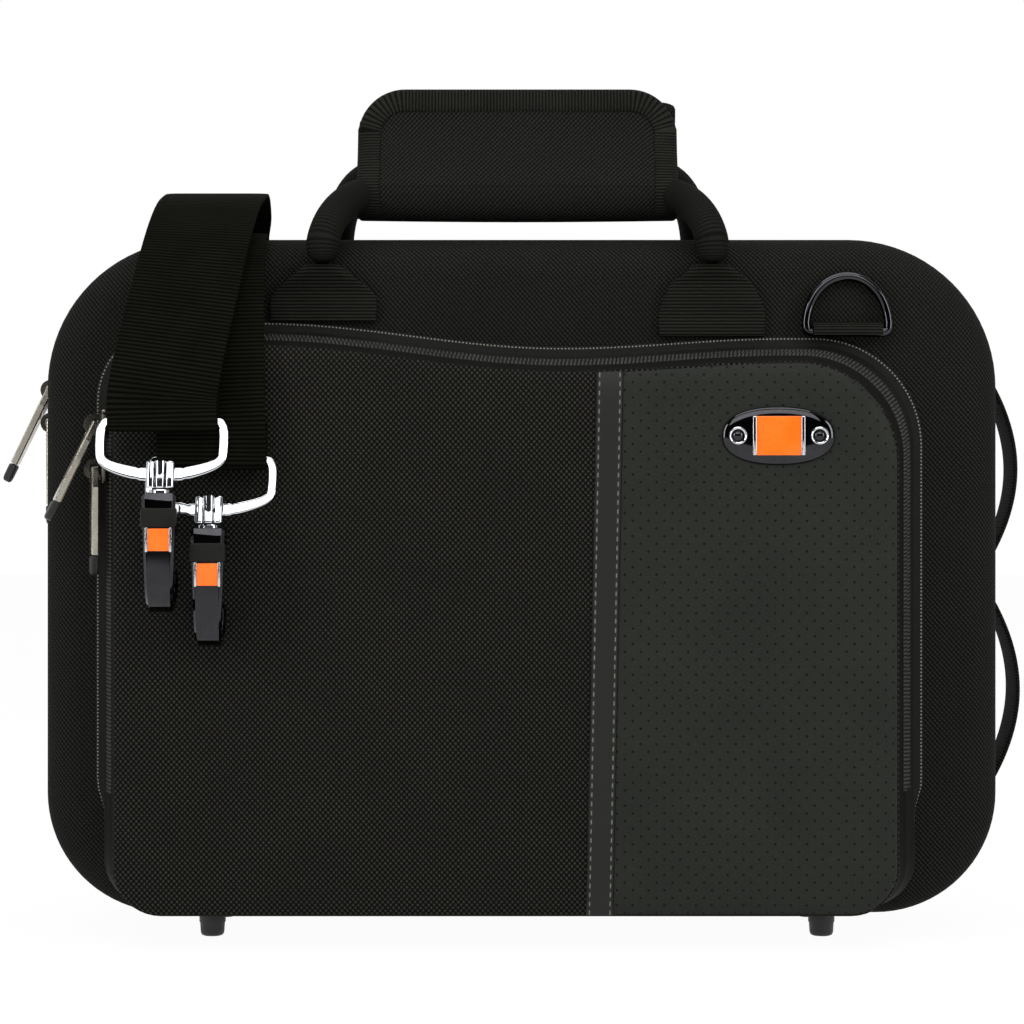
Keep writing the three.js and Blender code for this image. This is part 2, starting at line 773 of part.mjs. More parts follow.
function pocketZipperTape() {
  const flange = cut(
    loft([pocketRing(-pocketFlange, pocketBack), pocketRing(-pocketFlange, pocketBack - tapeThickness)]),
    loft([pocketRing(pocketWall, pocketBack + 1), pocketRing(pocketWall, pocketBack - tapeThickness - 1)]),
  );
  const wall = common(pocketBag, band(pocketZipY + halfSeat, 0, 0, farOut));
  const ridge = coilRidge(pocketZipY + halfSeat + pocketCoilWidth, pocketZipY + halfSeat);
  return common(join(wall, flange, ridge), band(-farOut, 0, pocketCrease + seat, farOut));
}

function pocketGusset() {
  const high = pocketCrease + seat;
  const wall = common(pocketBag, band(pocketFront + halfSeat, pocketZipY - halfSeat, high, farOut));
  const ridge = coilRidge(pocketZipY - halfSeat, pocketZipY - halfSeat - pocketCoilWidth);
  return join(wall, common(ridge, band(-farOut, 0, high, farOut)));
}

function pocketTrough() {
  const clearOfEdge = loft([
    ...edgeSteps(edgeRadius + seat, lidDepth + seat, 4, -seat),
    [-seat, 0],
  ].map(([inset, y]) => caseLoop(inset, -y)));
  return cut(common(pocketBag, band(-farOut, 0, 0, pocketCrease)), clearOfEdge);
}

// The front panel above the crease, cut where the trim strip crosses it
function pocketPanel(lowX0, lowX1, highX0, highX1) {
  return common(pocketBag, slab(lowX0, lowX1, highX0, highX1));
}

// Badge

function barrelOutline(width, height) {
  const flat = height * 0.5;
  const cap = width / 2;
  const sideRadius = height * 0.62;
  const cornerHeight = flat * 0.82;
  const reach = Math.asin(cornerHeight / sideRadius) / degree;
  const right = arc(cap - sideRadius, 0, sideRadius, -reach, reach, 8);
  const cornerX = right[0][0];
  const crown = Array.from({ length: 9 }, (_, i) => {
    const x = cornerX * (1 - (i + 1) / 5);
    return [x, cornerHeight + (flat - cornerHeight) * cos((PI / 2) * (x / cornerX))];
  });
  const topHalf = [...right, ...crown];
  return [...topHalf, ...topHalf.map(([x, z]) => [-x, -z])];
}

const badgeBack = panelFace - seat;
const badgeFace = badgeBack - badgeThickness;

function badgePlate() {
  const plate = extrudeForward(barrelOutline(badgeWidth, badgeHeight), badgeThickness, badgeBack, badgeEdge);
  const [half, tall] = [inlayWidth / 2, inlayHeight / 2];
  const socket = box(-half, half, badgeFace - 1, badgeFace + inlayDepth, -tall, tall);
  return cut(plate, socket).translate(badgeX, 0, badgeZ);
}

function badgeInlay() {
  const gap = halfSeat;
  const half = inlayWidth / 2 - gap;
  const tall = inlayHeight / 2 - gap;
  return box(-half, half, badgeFace + seat, badgeFace + inlayDepth - gap, -tall, tall)
    .translate(badgeX, 0, badgeZ);
}

function badgeRivet(side) {
  const dome = arc(0, 0, 1, 0, 90, 4).map(([a, b]) => [a * rivetRadius, b * rivetHeight]);
  return turned([[0, 0], ...dome.slice(0, -1), [0, rivetHeight]], 20)
    .rotateX(PI / 2).translate(badgeX + side * rivetX, badgeFace - halfSeat, badgeZ);
}

// Zippers: local x runs up the zipper, y across it and z out of it; z = 0 is the underside of the plate

function zipperSlider() {
  const outline = [
    ...arc(sliderLength / 2 - 2, sliderWidth / 2 - 2, 2, 90, 0, 3),
    ...arc(sliderLength / 2 - 2, -sliderWidth / 2 + 2, 2, 0, -90, 3),
    ...arc(-sliderLength / 2 + 1.5, -sliderTailWidth / 2 + 1.5, 1.5, -90, -180, 3),
    ...arc(-sliderLength / 2 + 1.5, sliderTailWidth / 2 - 1.5, 1.5, 180, 90, 3),
  ];
  const edge = 0.35;
  const settings = { depth: sliderPlate - edge, ...bevelled(edge) };
  const plate = new THREE.ExtrudeGeometry(shapeOf(outline), settings);
  const rail = sliderTailWidth / 2;
  const flange = box(-sliderLength * 0.3, sliderLength * 0.38, rail + 0.1, rail + 1.1, -sliderFlange, 0.5);
  const middle = bridgeInner + bridgeBar / 2;
  const line = [[middle, 0.3], ...arc(0, pivotHeight, middle, 0, 180, 8), [-middle, 0.3]];
  const bridge = ribbon(line.map(([x, z]) => [0, x, z]), bridgeWidth, bridgeBar).rotateZ(-PI / 2);
  const above = box(-farOut, farOut, -farOut, farOut, 0, farOut);
  return join(common(plate, above), flange, bridge);
}

// Pull: its eye bar lies inside the bridge at the origin and the blade hangs towards -x
function zipperPull() {
  const shoulder = -(eyeBar / 2 + eyeSlotLength + 1.4);
  const end = -pullMetalLength;
  const outline = [
    ...arc(-0.4, 0, eyeSlotWidth / 2 + 1.5, 80, -80, 6),
    [shoulder, -pullWidth / 2],
    [end, -pullEndWidth / 2],
    [end, pullEndWidth / 2],
    [shoulder, pullWidth / 2],
  ];
  const slotFrom = -eyeBar / 2;
  const eye = eyeSlotWidth / 2;
  const slot = roundedRectangle(slotFrom - eyeSlotLength, slotFrom, -eye, eye, 0.6, 2);
  const bevel = 0.4;
  const depth = pullThickness - 2 * bevel;
  const blade = new THREE.ExtrudeGeometry(shapeOf(outline), { depth, ...bevelled(bevel) })
    .translate(0, 0, -depth / 2);
  const hole = new THREE.ExtrudeGeometry(shapeOf(slot), { depth: 2 * pullThickness, ...bevelled(0) })
    .translate(0, 0, -pullThickness);
  const nose = box(eyeBar / 2, farOut, -farOut, farOut, -farOut, farOut);
  return cut(blade, hole, nose);
}

function pullTip() {
  const from = -pullMetalLength - seat;
  const to = from - pullTipLength;
  const outline = [
    [from, pullEndWidth / 2],
    [from, -pullEndWidth / 2],
    ...arc(to + pullEndWidth / 2 - 0.3, 0, pullEndWidth / 2 - 0.3, 270, 90, 8),
  ];
  const bevel = 0.5;
  const depth = pullThickness - bevel;
  return new THREE.ExtrudeGeometry(shapeOf(outline), { depth, ...bevelled(bevel) })
    .translate(0, 0, -depth / 2);
}

// Strap

// Height of the middle of a webbing that lies flat on the case
const strapFloor = caseTop + seat + strapThickness / 2;
const strapInner = baseDepth + seat + strapThickness / 2;
const wrapRadius = frameBar + seat + strapThickness / 2;

// Where the arch hands over to the loop behind, and its slope there
const archBefore = [baseDepth - 21, caseTop + 12.9];
const archEnd = [baseDepth - 9.6, caseTop + 6.9];
const archFall = atan2(archEnd[1] - archBefore[1], archEnd[0] - archBefore[0]);

// Middle of the bar that the webbing is folded round
function crossbar({ x, y, z, tilt }) {
  return [x, y + frameHeight * sin(tilt * degree), z + frameHeight * cos(tilt * degree)];
}

// The end of a run: down behind the crossbar, round it and up in front
function wrapPoints(hook) {
  const [x, y, z] = crossbar(hook);
  const tail = [[y + wrapRadius - 0.6, z + strapTail], [y + wrapRadius, z + 3]];
  return [...tail, ...arc(y, z, wrapRadius, 0, -180, 6)].map(([py, pz]) => [x, py, pz]);
}

// From the first hook up over the top in a free arch
function strapRunOne() {
  const [x, y, z] = crossbar(hooks[0]);
  const rise = [
    [x, y - wrapRadius + 0.6, z + 9],
    [x + 1.9, panelFace - 12.6, caseTop - 46.3],
    [x + 4.2, panelFace - 5.5, caseTop - 32.3],
    [x + 6.3, panelFace + 2, caseTop - 19.3],
    [x + 8, panelFace + 11.3, caseTop - 7.3],
    [x + 9.4, -lidDepth - 5, caseTop + 3.7],
    [x + 10.6, -lidDepth + 9, caseTop + 12.3],
    [strapApexX, -9.5, caseTop + 17.1],
    [strapApexX - 0.4, 4, caseTop + 18.6],
    [strapApexX - 1, 17, caseTop + 17.1],
    [strapApexX - 1.8, ...archBefore],
    [strapBackX, ...archEnd],
  ];
  return ribbon([...wrapPoints(hooks[0]), ...rise], webbingWidth, strapThickness);
}

// From the second hook up in front of the lid and flat over the top
function strapRunTwo() {
  const [x, y, z] = crossbar(hooks[1]);
  const rise = [
    [x, y - wrapRadius + 0.3, z + 12],
    [x - 0.6, panelFace - 5.2, caseTop - 55.7],
    [x - 1, panelFace - 2.3, caseTop - 43.7],
    [x - 1.4, panelFace + 2.1, caseTop - 31.7],
    [x - 1.8, panelFace + 8.1, caseTop - 20.7],
    [x - 2.2, panelFace + 15.8, caseTop - 10.7],
    [x - 2.6, -lidDepth - 3, caseTop - 2.9],
    [x - 3, -lidDepth + 6, strapFloor - 0.2],
    [x - 3.3, -lidDepth + 14, strapFloor],
    [x - 4.6, 0, strapFloor],
    [strapBackX, strapTopEnd, strapFloor],
  ];
  return ribbon([...wrapPoints(hooks[1]), ...rise], webbingWidth, strapThickness);
}

// The rest of the strap: from the arch down behind the base, round in a loop, up against the base
// and over its edge
function strapBackLoop() {
  const fall = [seat, 4]
    .map((step) => [archEnd[0] + step * cos(archFall), archEnd[1] + step * sin(archFall)]);
  const bend = strapInner - baseDepth + edgeRadius;
  const edge = arc(baseDepth - edgeRadius, caseTop - edgeRadius, bend, 0, 90, 6);
  const bends = [
    [-0.4, -1.5],
    [4.2, -12.2],
    [4.6, -23.7],
    [4.4, -38.7],
    [4.4, 58 - strapLoopLength],
    [5.6, 26 - strapLoopLength],
    [8.4, 8 - strapLoopLength],
    [9.4, -2 - strapLoopLength],
    [7.8, -9.5 - strapLoopLength],
    [4.6, -11.4 - strapLoopLength],
    [2, -8 - strapLoopLength],
  ].map(([behind, up]) => [baseDepth + behind, caseTop + up]);
  const rising = [strapInner, caseTop - strapLoopLength];
  const line = [...fall, ...bends, rising, ...edge, [strapTopEnd + seat, strapFloor]];
  return ribbon(line.map(([y, z]) => [strapBackX, y, z]), webbingWidth, strapThickness);
}

// Hooks: the origin is the underside of the frame's hub, on the swivel axis

// Strap frame: a crossbar, two arms and two bars that thicken towards the grooved hub
function strapFrame({ tilt }) {
  const arm = frameInner / 2 + frameBar;
  const half = [
    [3, 4.8, 2.6],
    [8, 5.2, 2.4],
    [14, 6.7, 2.1],
    [arm - 2.6, 8.6, 1.8],
    [arm - 0.5, 10.8, 1.65],
    [arm, 14, frameBar],
    [arm, frameHeight - 4, frameBar],
    [arm - 0.8, frameHeight - 1.2, 1.55],
    [arm - 3, frameHeight, 1.5],
    [6, frameHeight, 1.5],
  ];
  const right = half.map(([x, z, r]) => ({ at: [x, 0, z], r }));
  const left = half.map(([x, z, r]) => ({ at: [-x, 0, z], r })).reverse();
  const line = [...right, ...left];
  const bars = tube(line.map(({ at }) => at), (i) => line[i].r, 8, true).rotateX(-tilt * degree);
  const hubOutline = roundedRectangle(-hubWidth / 2, hubWidth / 2, -hubDepth / 2, hubDepth / 2, 1.4, 2);
  const hub = new THREE.ExtrudeGeometry(shapeOf(hubOutline), { depth: hubHeight - seat, ...bevelled(0) })
    .translate(0, 1, seat);
  const upright = (radius, height, sides) =>
    new THREE.CylinderGeometry(radius, radius, height, sides).rotateX(PI / 2);
  const grooves = [-hubWidth * 0.17, hubWidth * 0.17]
    .map((x) => upright(0.7, hubHeight + 4, 8).translate(x, 1 - hubDepth / 2, hubHeight / 2));
  const bore = upright(postRadius + seat, 2 * (postLength + seat), 16);
  return cut(join(bars, hub), ...grooves, bore);
}

function hookOutline() {
  const tip = 28;
  return [
    [-hookSpine + 1.4, hookTop],
    [-hookSpine, hookTop - 3],
    ...arc(hookRingY, hookRingZ, hookRingOuter, 180, 360 + tip, 16),
    ...arc(hookRingY, hookRingZ, hookRingInner, 360 + tip + 8, 180, 14),
    [hookRingY - hookRingInner, gatePivotZ - 4],
    [-1.4, gatePivotZ - 2.6],
    [hookBack - 2.4, gatePivotZ - 2.6],
    [hookBack, gatePivotZ],
    [hookBack, hookTop - 2],
    [hookBack - 1.6, hookTop],
  ];
}

// Cast body: hooked plate, slotted behind for the gate, with the swivel post on top
function hookBody() {
  const plate = extrudeAlongX(hookOutline(), hookWidth, 1.1);
  const taper = plate.attributes.position;
  for (let i = 0; i < taper.count; i++) taper.setX(i, taper.getX(i) * (1 + 0.006 * taper.getZ(i)));
  const slotHalf = gateWidth / 2 + seat;
  const slot = box(-slotHalf, slotHalf, 0, farOut, gatePivotZ - 8, gatePivotZ + gateThickness / 2 + 1);
  const [half, tall] = [labelWidth / 2, labelHeight / 2];
  const label = box(-half, half, -hookSpine - 5, -hookSpine + labelDepth, labelZ - tall, labelZ + tall);
  const shoulder = hookTop + collarHeight;
  const post = turned([
    [0, hookTop - 1],
    [collarRadius - 0.6, hookTop - 1],
    [collarRadius, hookTop - 0.2],
    [collarRadius, shoulder - 0.3],
    [collarRadius - 0.5, shoulder],
    [postRadius, shoulder],
    [postRadius, postLength - seat],
    [0, postLength - seat],
  ], 16);
  const pin = pinAlongX(gatePinRadius, gateWidth + 3, gatePivotY, gatePivotZ, 10);
  return join(cut(plate, slot, label), post, pin);
}

// Spring gate: a knuckle on the pin and a bar that closes on the inside of the nose
function hookGate() {
  const lean = atan2(5.2, gateReach) / degree;
  const bar = [
    ...arc(0, 0, gateThickness / 2 + 0.4, 0, 180, 6),
    ...arc(0, -gateReach, gateThickness / 2 - 0.2, 180, 360, 6),
  ];
  const outline = bar.map(([y, z]) => {
    const turn = lean * degree;
    return [y * cos(turn) - z * sin(turn) + gatePivotY, y * sin(turn) + z * cos(turn) + gatePivotZ];
  });
  const body = extrudeAlongX(outline, gateWidth, 0.5);
  return cut(body, pinAlongX(gatePinRadius + seat, gateWidth + 4, gatePivotY, gatePivotZ, 12));
}

function hookLabel() {
  const half = labelWidth / 2 - halfSeat;
  const tall = labelHeight / 2 - halfSeat;
  return box(-half, half, -hookSpine + 0.1, -hookSpine + labelDepth - 0.1, labelZ - tall, labelZ + tall);
}

// Finishes

const finish = (color, roughness, metalness = 0) => ({ color, roughness, metalness });
const nylon = finish("#232422", 0.85);
const webbing = finish("#1b1c18", 0.9);
const plush = finish("#2c2a2f", 0.95);
const leatherette = finish("#303330", 0.55);
const smoothTrim = finish("#3a3c3a", 0.5);
const rubber = finish("#1c1c1c", 0.8);
const chrome = finish("#c9ccd0", 0.12, 1);
const blackChrome = finish("#2a2b2e", 0.15, 1);
const nickel = finish("#a59f92", 0.3, 1);
const orange = finish("#ff6a00", 0.35);

function add(parent, name, geometry, look) {
  const mesh = new THREE.Mesh(geometry, new THREE.MeshStandardMaterial({ ...look }));
  mesh.name = name;
  parent.add(mesh);
}

function groupAt(parent, x, y, z, turnZ = 0) {
  const group = new THREE.Group();
  group.position.set(x, y, z);
  group.rotation.set(0, 0, turnZ);
  parent.add(group);
  return group;
}

// Bodies

function addBase(parent) {
  add(parent, "base_shell", caseShell(baseDepth, 1), nylon);
  add(parent, "base_tray", tray(), plush);
  add(parent, "base_zipper_tape", zipperTape(1), webbing);
  add(parent, "base_hinge_fabric", hingeFabric(1), nylon);
  add(parent, "base_foot_left", foot(footLeftX, baseFootY), rubber);
  add(parent, "base_foot_right", foot(footRightX, baseFootY), rubber);
  const low = handlePivotZ - 34;
  add(parent, "rear_handle_anchor_left", handleAnchor(handleX - anchorX, 1, low), webbing);
  add(parent, "rear_handle_anchor_right", handleAnchor(handleX + anchorX, 1, low), webbing);
  add(parent, "side_handle", sideHandle(), webbing);
}

function addLid(parent) {
  add(parent, "lid_shell", caseShell(lidDepth, -1), nylon);
  add(parent, "lid_pad", lidPad(), plush);
  add(parent, "lid_zipper_tape", zipperTape(-1), webbing);
  add(parent, "lid_hinge_fabric", hingeFabric(-1), nylon);
  add(parent, "lid_foot_left", foot(footLeftX, -lidFootY), rubber);
  add(parent, "lid_foot_right", foot(footRightX, -lidFootY), rubber);
  for (const [name, x] of [["left", handleX - anchorX], ["right", handleX + anchorX]]) {
    add(parent, `front_handle_anchor_${name}`, handleAnchor(x, -1, aboveFlange(x, webbingWidth)), webbing);
  }
  add(parent, "d_ring_tab_left", ringTab(-ringX), webbing);
  add(parent, "d_ring_tab_right", ringTab(ringX), webbing);
  add(parent, "pocket_zipper_tape", pocketZipperTape(), webbing);
  add(parent, "pocket_trough", pocketTrough(), nylon);
}

function addHandles(parent) {
  const frontCord = (swell) => handleLoop(-1, lidDepth, frontTubeZ, -2, swell);
  const rearCord = (swell) => handleLoop(1, baseDepth, rearTubeZ, 1, swell);
  const frontHalf = gripHalf({
    side: -1,
    tubeZ: frontTubeZ,
    bulbRadius: frontBulbRadius,
    flap: frontFlapHeight,
    topEdge: roundTop,
    cord: frontCord(seat),
  });
  const rearHalf = gripHalf({
    side: 1,
    tubeZ: rearTubeZ,
    bulbRadius: rearBulbRadius,
    flap: rearFlapHeight,
    topEdge: slantingTop,
    cord: rearCord(seat),
  });
  add(parent, "front_handle_loop", frontCord(0), webbing);
  add(parent, "front_grip_half", frontHalf, nylon);
  add(parent, "grip_loop_strip", closureStrip(-1), plush);
  add(parent, "rear_handle_loop", rearCord(0), webbing);
  add(parent, "rear_grip_half", rearHalf, nylon);
  add(parent, "grip_hook_strip", closureStrip(1), plush);
  add(parent, "d_ring_left", dRing(-ringX), blackChrome);
  add(parent, "d_ring_right", dRing(ringX), blackChrome);
}

function addPocket(parent) {
  const gap = halfSeat;
  const [lowRight, highRight] = [trimBottomX + trimWidth, trimTopX + trimWidth];
  const nylonPanel = pocketPanel(-farOut, trimBottomX - gap, -farOut, trimTopX - gap);
  const trimStrip = pocketPanel(trimBottomX + gap, lowRight - gap, trimTopX + gap, highRight - gap);
  add(parent, "pocket_panel_nylon", nylonPanel, nylon);
  add(parent, "pocket_trim_strip", trimStrip, smoothTrim);
  const leatherPanel = pocketPanel(lowRight + gap, farOut, highRight + gap, farOut);
  add(parent, "pocket_panel_leatherette", leatherPanel, leatherette);
  add(parent, "pocket_gusset", pocketGusset(), nylon);
  add(parent, "badge_plate", badgePlate(), blackChrome);
  add(parent, "badge_inlay", badgeInlay(), orange);
  add(parent, "badge_rivet_left", badgeRivet(-1), chrome);
  add(parent, "badge_rivet_right", badgeRivet(1), chrome);
}

// A slider and its pull on a stretch that runs straight up. turn is the slope of the wall seen from above
function addZipper(parent, name, x, y, z, turn, lean) {
  const place = groupAt(parent, x, y, z, turn);
  const upright = new THREE.Group();
  upright.rotation.y = -PI / 2;
  place.add(upright);
  add(upright, `${name}_slider`, zipperSlider(), nickel);
  const pull = new THREE.Group();
  pull.position.z = pivotHeight;
  pull.rotation.y = lean * degree;
  upright.add(pull);
  add(pull, `${name}_pull`, zipperPull(), nickel);
  add(pull, `${name}_pull_tip`, pullTip(), rubber);
}

function addZippers(parent) {
  const mainHeight = -rimInset + seat + tapeThickness + coilHeight + seat;
  addZipper(parent, "main_upper", -caseSide - mainHeight, 0, topCornerZ, 0, upperPullLean);
  addZipper(parent, "main_lower", -caseSide - mainHeight, 0, topCornerZ - mainSliderSpacing, 0, 0);
  const slope = Math.atan(pocketLeanLeft / pocketDepth);
  const wallX = pocketLeft + (pocketLeanLeft * pocketZipOut) / pocketDepth;
  const out = pocketCoilHeight + seat;
  const at = [wallX - out * cos(slope), pocketZipY - out * sin(slope)];
  addZipper(parent, "pocket_upper", at[0], at[1], pocketUpperSliderZ, slope, pocketPullLean);
  addZipper(parent, "pocket_lower", at[0], at[1], pocketLowerSliderZ, slope, 0);
}

function addStrap(parent) {
  add(parent, "strap_run_one", strapRunOne(), webbing);
  add(parent, "strap_run_two", strapRunTwo(), webbing);
  add(parent, "strap_back_loop", strapBackLoop(), webbing);
  for (const hook of hooks) {
    const place = groupAt(parent, hook.x, hook.y, hook.z);
    add(place, `${hook.name}_frame`, strapFrame(hook), chrome);
    add(place, `${hook.name}_body`, hookBody(), blackChrome);
    add(place, `${hook.name}_gate`, hookGate(), blackChrome);
    add(place, `${hook.name}_label`, hookLabel(), orange);
  }
}

// The whole case, moved so that its outline is centred over the origin
const clarinetCase = new THREE.Group();
addBase(clarinetCase);
addLid(clarinetCase);
addHandles(clarinetCase);
addPocket(clarinetCase);
addZippers(clarinetCase);
addStrap(clarinetCase);
const outlineCentre = new THREE.Box3().setFromObject(clarinetCase, true).getCenter(new THREE.Vector3());
clarinetCase.position.set(-outlineCentre.x, -outlineCentre.y, 0);

export default clarinetCase;
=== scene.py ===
# A soft clarinet case, closed and standing on its feet: moulded nylon shells with a zipper round them,
# a zipped front pocket with a leatherette panel and a badge, a wrap handle, a side handle, D-rings and a
# hooked shoulder strap laid over the top. Shapes are worked out in millimetres in the case's own
# coordinates, where y = 0 is the plane in which lid and base meet, and are moved to the frame when made.
import json
import math

import bmesh
import bpy
import numpy as np
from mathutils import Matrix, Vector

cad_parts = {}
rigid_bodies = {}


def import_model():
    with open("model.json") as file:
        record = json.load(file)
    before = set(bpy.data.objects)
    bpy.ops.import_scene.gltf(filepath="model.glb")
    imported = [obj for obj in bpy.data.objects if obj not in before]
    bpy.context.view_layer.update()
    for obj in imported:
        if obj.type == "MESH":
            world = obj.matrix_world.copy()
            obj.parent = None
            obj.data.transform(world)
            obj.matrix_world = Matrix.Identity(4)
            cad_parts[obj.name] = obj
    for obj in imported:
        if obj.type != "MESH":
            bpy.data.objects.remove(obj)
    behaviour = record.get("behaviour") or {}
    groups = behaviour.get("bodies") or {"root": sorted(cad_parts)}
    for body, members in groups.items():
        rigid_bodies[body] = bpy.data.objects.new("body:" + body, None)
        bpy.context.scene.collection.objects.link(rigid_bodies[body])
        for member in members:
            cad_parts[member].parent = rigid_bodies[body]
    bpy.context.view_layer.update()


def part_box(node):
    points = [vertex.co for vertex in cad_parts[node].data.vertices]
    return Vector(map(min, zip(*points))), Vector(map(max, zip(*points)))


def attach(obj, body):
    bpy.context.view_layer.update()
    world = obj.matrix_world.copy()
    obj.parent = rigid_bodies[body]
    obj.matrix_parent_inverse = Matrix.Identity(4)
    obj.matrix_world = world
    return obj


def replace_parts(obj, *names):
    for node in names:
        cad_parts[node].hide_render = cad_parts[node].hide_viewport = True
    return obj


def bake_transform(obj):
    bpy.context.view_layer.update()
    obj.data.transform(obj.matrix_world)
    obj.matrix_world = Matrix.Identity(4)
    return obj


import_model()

# Viewpoint: the case is seen straight from the front with a long lens, from half its height.
camera = bpy.data.objects.new("viewpoint", bpy.data.cameras.new("viewpoint"))
camera.data.sensor_width = 36
camera.data.lens = 100.05
camera.data.clip_start = 0.05
camera.data.clip_end = 60
camera.location = (-0.00113, -1.04604, 0.1543)
camera.rotation_euler = (math.radians(90), 0, 0)
bpy.context.scene.collection.objects.link(camera)
bpy.context.scene.camera = camera
bpy.context.scene.view_settings.view_transform = "Standard"


# Studio: a pale matt floor and a surround that is white to the camera, and that the plating mirrors as
# white behind the case and dark in front of it. A soft box stands at each side, one above, and one high
# in front, which the tilted faces of the strap frames mirror.
def colour(code):
    """Linear RGBA of an sRGB hex colour: ((c + 0.055) / 1.055) ** 2.4 above 0.04, c / 12.92 below."""
    shares = [int(code[i:i + 2], 16) / 255 for i in (1, 3, 5)]
    return (*[c / 12.92 if c <= 0.04045 else ((c + 0.055) / 1.055) ** 2.4 for c in shares], 1.0)


def add_node(owner, kind, inputs=None, **settings):
    """Adds one node to a material or world. settings are its properties. inputs are its values, or the
    sockets or nodes that feed them, of which a node feeds its first output."""
    made = owner.node_tree.nodes.new("ShaderNode" + kind)
    for name, value in settings.items():
        setattr(made, name, value)
    pairs = enumerate(inputs) if isinstance(inputs, list) else (inputs or {}).items()
    for key, value in pairs:
        if isinstance(value, bpy.types.Node):
            value = value.outputs[0]
        if isinstance(value, bpy.types.NodeSocket):
            owner.node_tree.links.new(value, made.inputs[key])
        else:
            made.inputs[key].default_value = value
    return made


def finish_of(name, base, **shader_values):
    """A material with one Principled shader. The values are set straight on its sockets."""
    material = bpy.data.materials.new(name)
    material.use_nodes = True
    material.node_tree.nodes.clear()
    values = {key.replace("_", " "): value for key, value in shader_values.items()}
    shader = add_node(material, "BsdfPrincipled", {"Base Color": colour(base), **values})
    add_node(material, "OutputMaterial", {"Surface": shader})
    return material, shader


floor_half = 6
floor_corners = [(x * floor_half, y * floor_half, 0) for x, y in ((-1, -1), (1, -1), (1, 1), (-1, 1))]
floor_mesh = bpy.data.meshes.new("floor")
floor_mesh.from_pydata(floor_corners, [], [(0, 1, 2, 3)])
floor = bpy.data.objects.new("floor", floor_mesh)
bpy.context.scene.collection.objects.link(floor)
# The camera and the plating see the floor nearly as white as the surround, so its horizon hardly shows.
white_share = 0.96
floor_finish, floor_shader = finish_of("pale_matt_floor", "#f4f4f4", Roughness=0.9)
ray = add_node(floor_finish, "LightPath").outputs
seen = add_node(floor_finish, "Math", [ray["Is Camera Ray"], ray["Is Glossy Ray"]], operation="MAXIMUM")
seen = add_node(floor_finish, "Math", [seen, ray["Is Transmission Ray"]], operation="MAXIMUM")
share = add_node(floor_finish, "Math", [seen, white_share], operation="MULTIPLY")
glow = add_node(floor_finish, "Emission", {"Color": (1, 1, 1, 1), "Strength": 1.0})
mixed = add_node(floor_finish, "MixShader", [share, floor_shader, glow])
output = next(n for n in floor_finish.node_tree.nodes if n.type == "OUTPUT_MATERIAL")
floor_finish.node_tree.links.new(mixed.outputs[0], output.inputs["Surface"])
floor_mesh.materials.append(floor_finish)

world = bpy.data.worlds.new("surround")
world.use_nodes = True
world.node_tree.nodes.clear()
bpy.context.scene.world = world
ray = add_node(world, "LightPath").outputs
towards = add_node(world, "SeparateXYZ", [add_node(world, "TexCoord").outputs["Generated"]])
mirrored = add_node(world, "MapRange", {
    "Value": towards.outputs[1], "From Min": -0.3, "From Max": 0.3, "To Min": 0.03, "To Max": 1.0})
lit = add_node(world, "Mix", {0: ray["Is Glossy Ray"], 2: 0.62, 3: mirrored})
clear = add_node(world, "Math", [ray["Is Camera Ray"], ray["Is Transmission Ray"]], operation="MAXIMUM")
level = add_node(world, "Mix", {0: clear, 2: lit, 3: 1.0})
sky = add_node(world, "Background", {"Color": (1, 1, 1, 1), "Strength": level})
add_node(world, "OutputWorld", {"Surface": sky})

soft_boxes = {
    "left_box": ((-1.5, -1.1, 0.7), (0.5, 1.2), 14),
    "right_box": ((1.5, -1.1, 0.7), (0.5, 1.2), 14),
    "top_box": ((0, -0.2, 1.9), (1.6, 1.0), 14),
    "front_box": ((0, -1.25, 1.15), (1.5, 0.9), 12),
}
for name, (place, size, power) in soft_boxes.items():
    lamp = bpy.data.objects.new(name, bpy.data.lights.new(name, "AREA"))
    lamp.data.shape = "RECTANGLE"
    lamp.data.size, lamp.data.size_y = size
    lamp.data.energy = power
    lamp.location = place
    x, y, z = (target - at for target, at in zip((0, 0, 0.15), place))
    lamp.rotation_euler = (math.acos(-z / math.hypot(x, y, z)), 0, math.atan2(-x, y))
    bpy.context.scene.collection.objects.link(lamp)


# Shells of lid and base: nylon heat-moulded over foam, so the weave runs on unbroken from the flat face
# round the edge. Each rim steps in where the zipper tape is sewn on. The inside face is the same cloth.
shell_low, shell_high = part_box("base_shell")
seat, half_seat = 0.3, 0.15
shift = np.array([(shell_low.x + shell_high.x) / 2, shell_low.y - half_seat / 1000, 0])
case_width, case_height, case_bottom = 346, 245.5, 8.2
case_side, case_top = case_width / 2, case_bottom + case_height
top_radius, bottom_radius, edge_radius = 54, 44, 14
side_wall, face_wall, inner_edge_radius = 8.4, 4, 8
lid_depth, base_depth = 34, 50
rim_width, rim_slope, rim_inset = 10.8, 1.2, 4.2
top_x, top_z = case_side - top_radius, case_top - top_radius
low_x, low_z = case_side - bottom_radius, case_bottom + bottom_radius


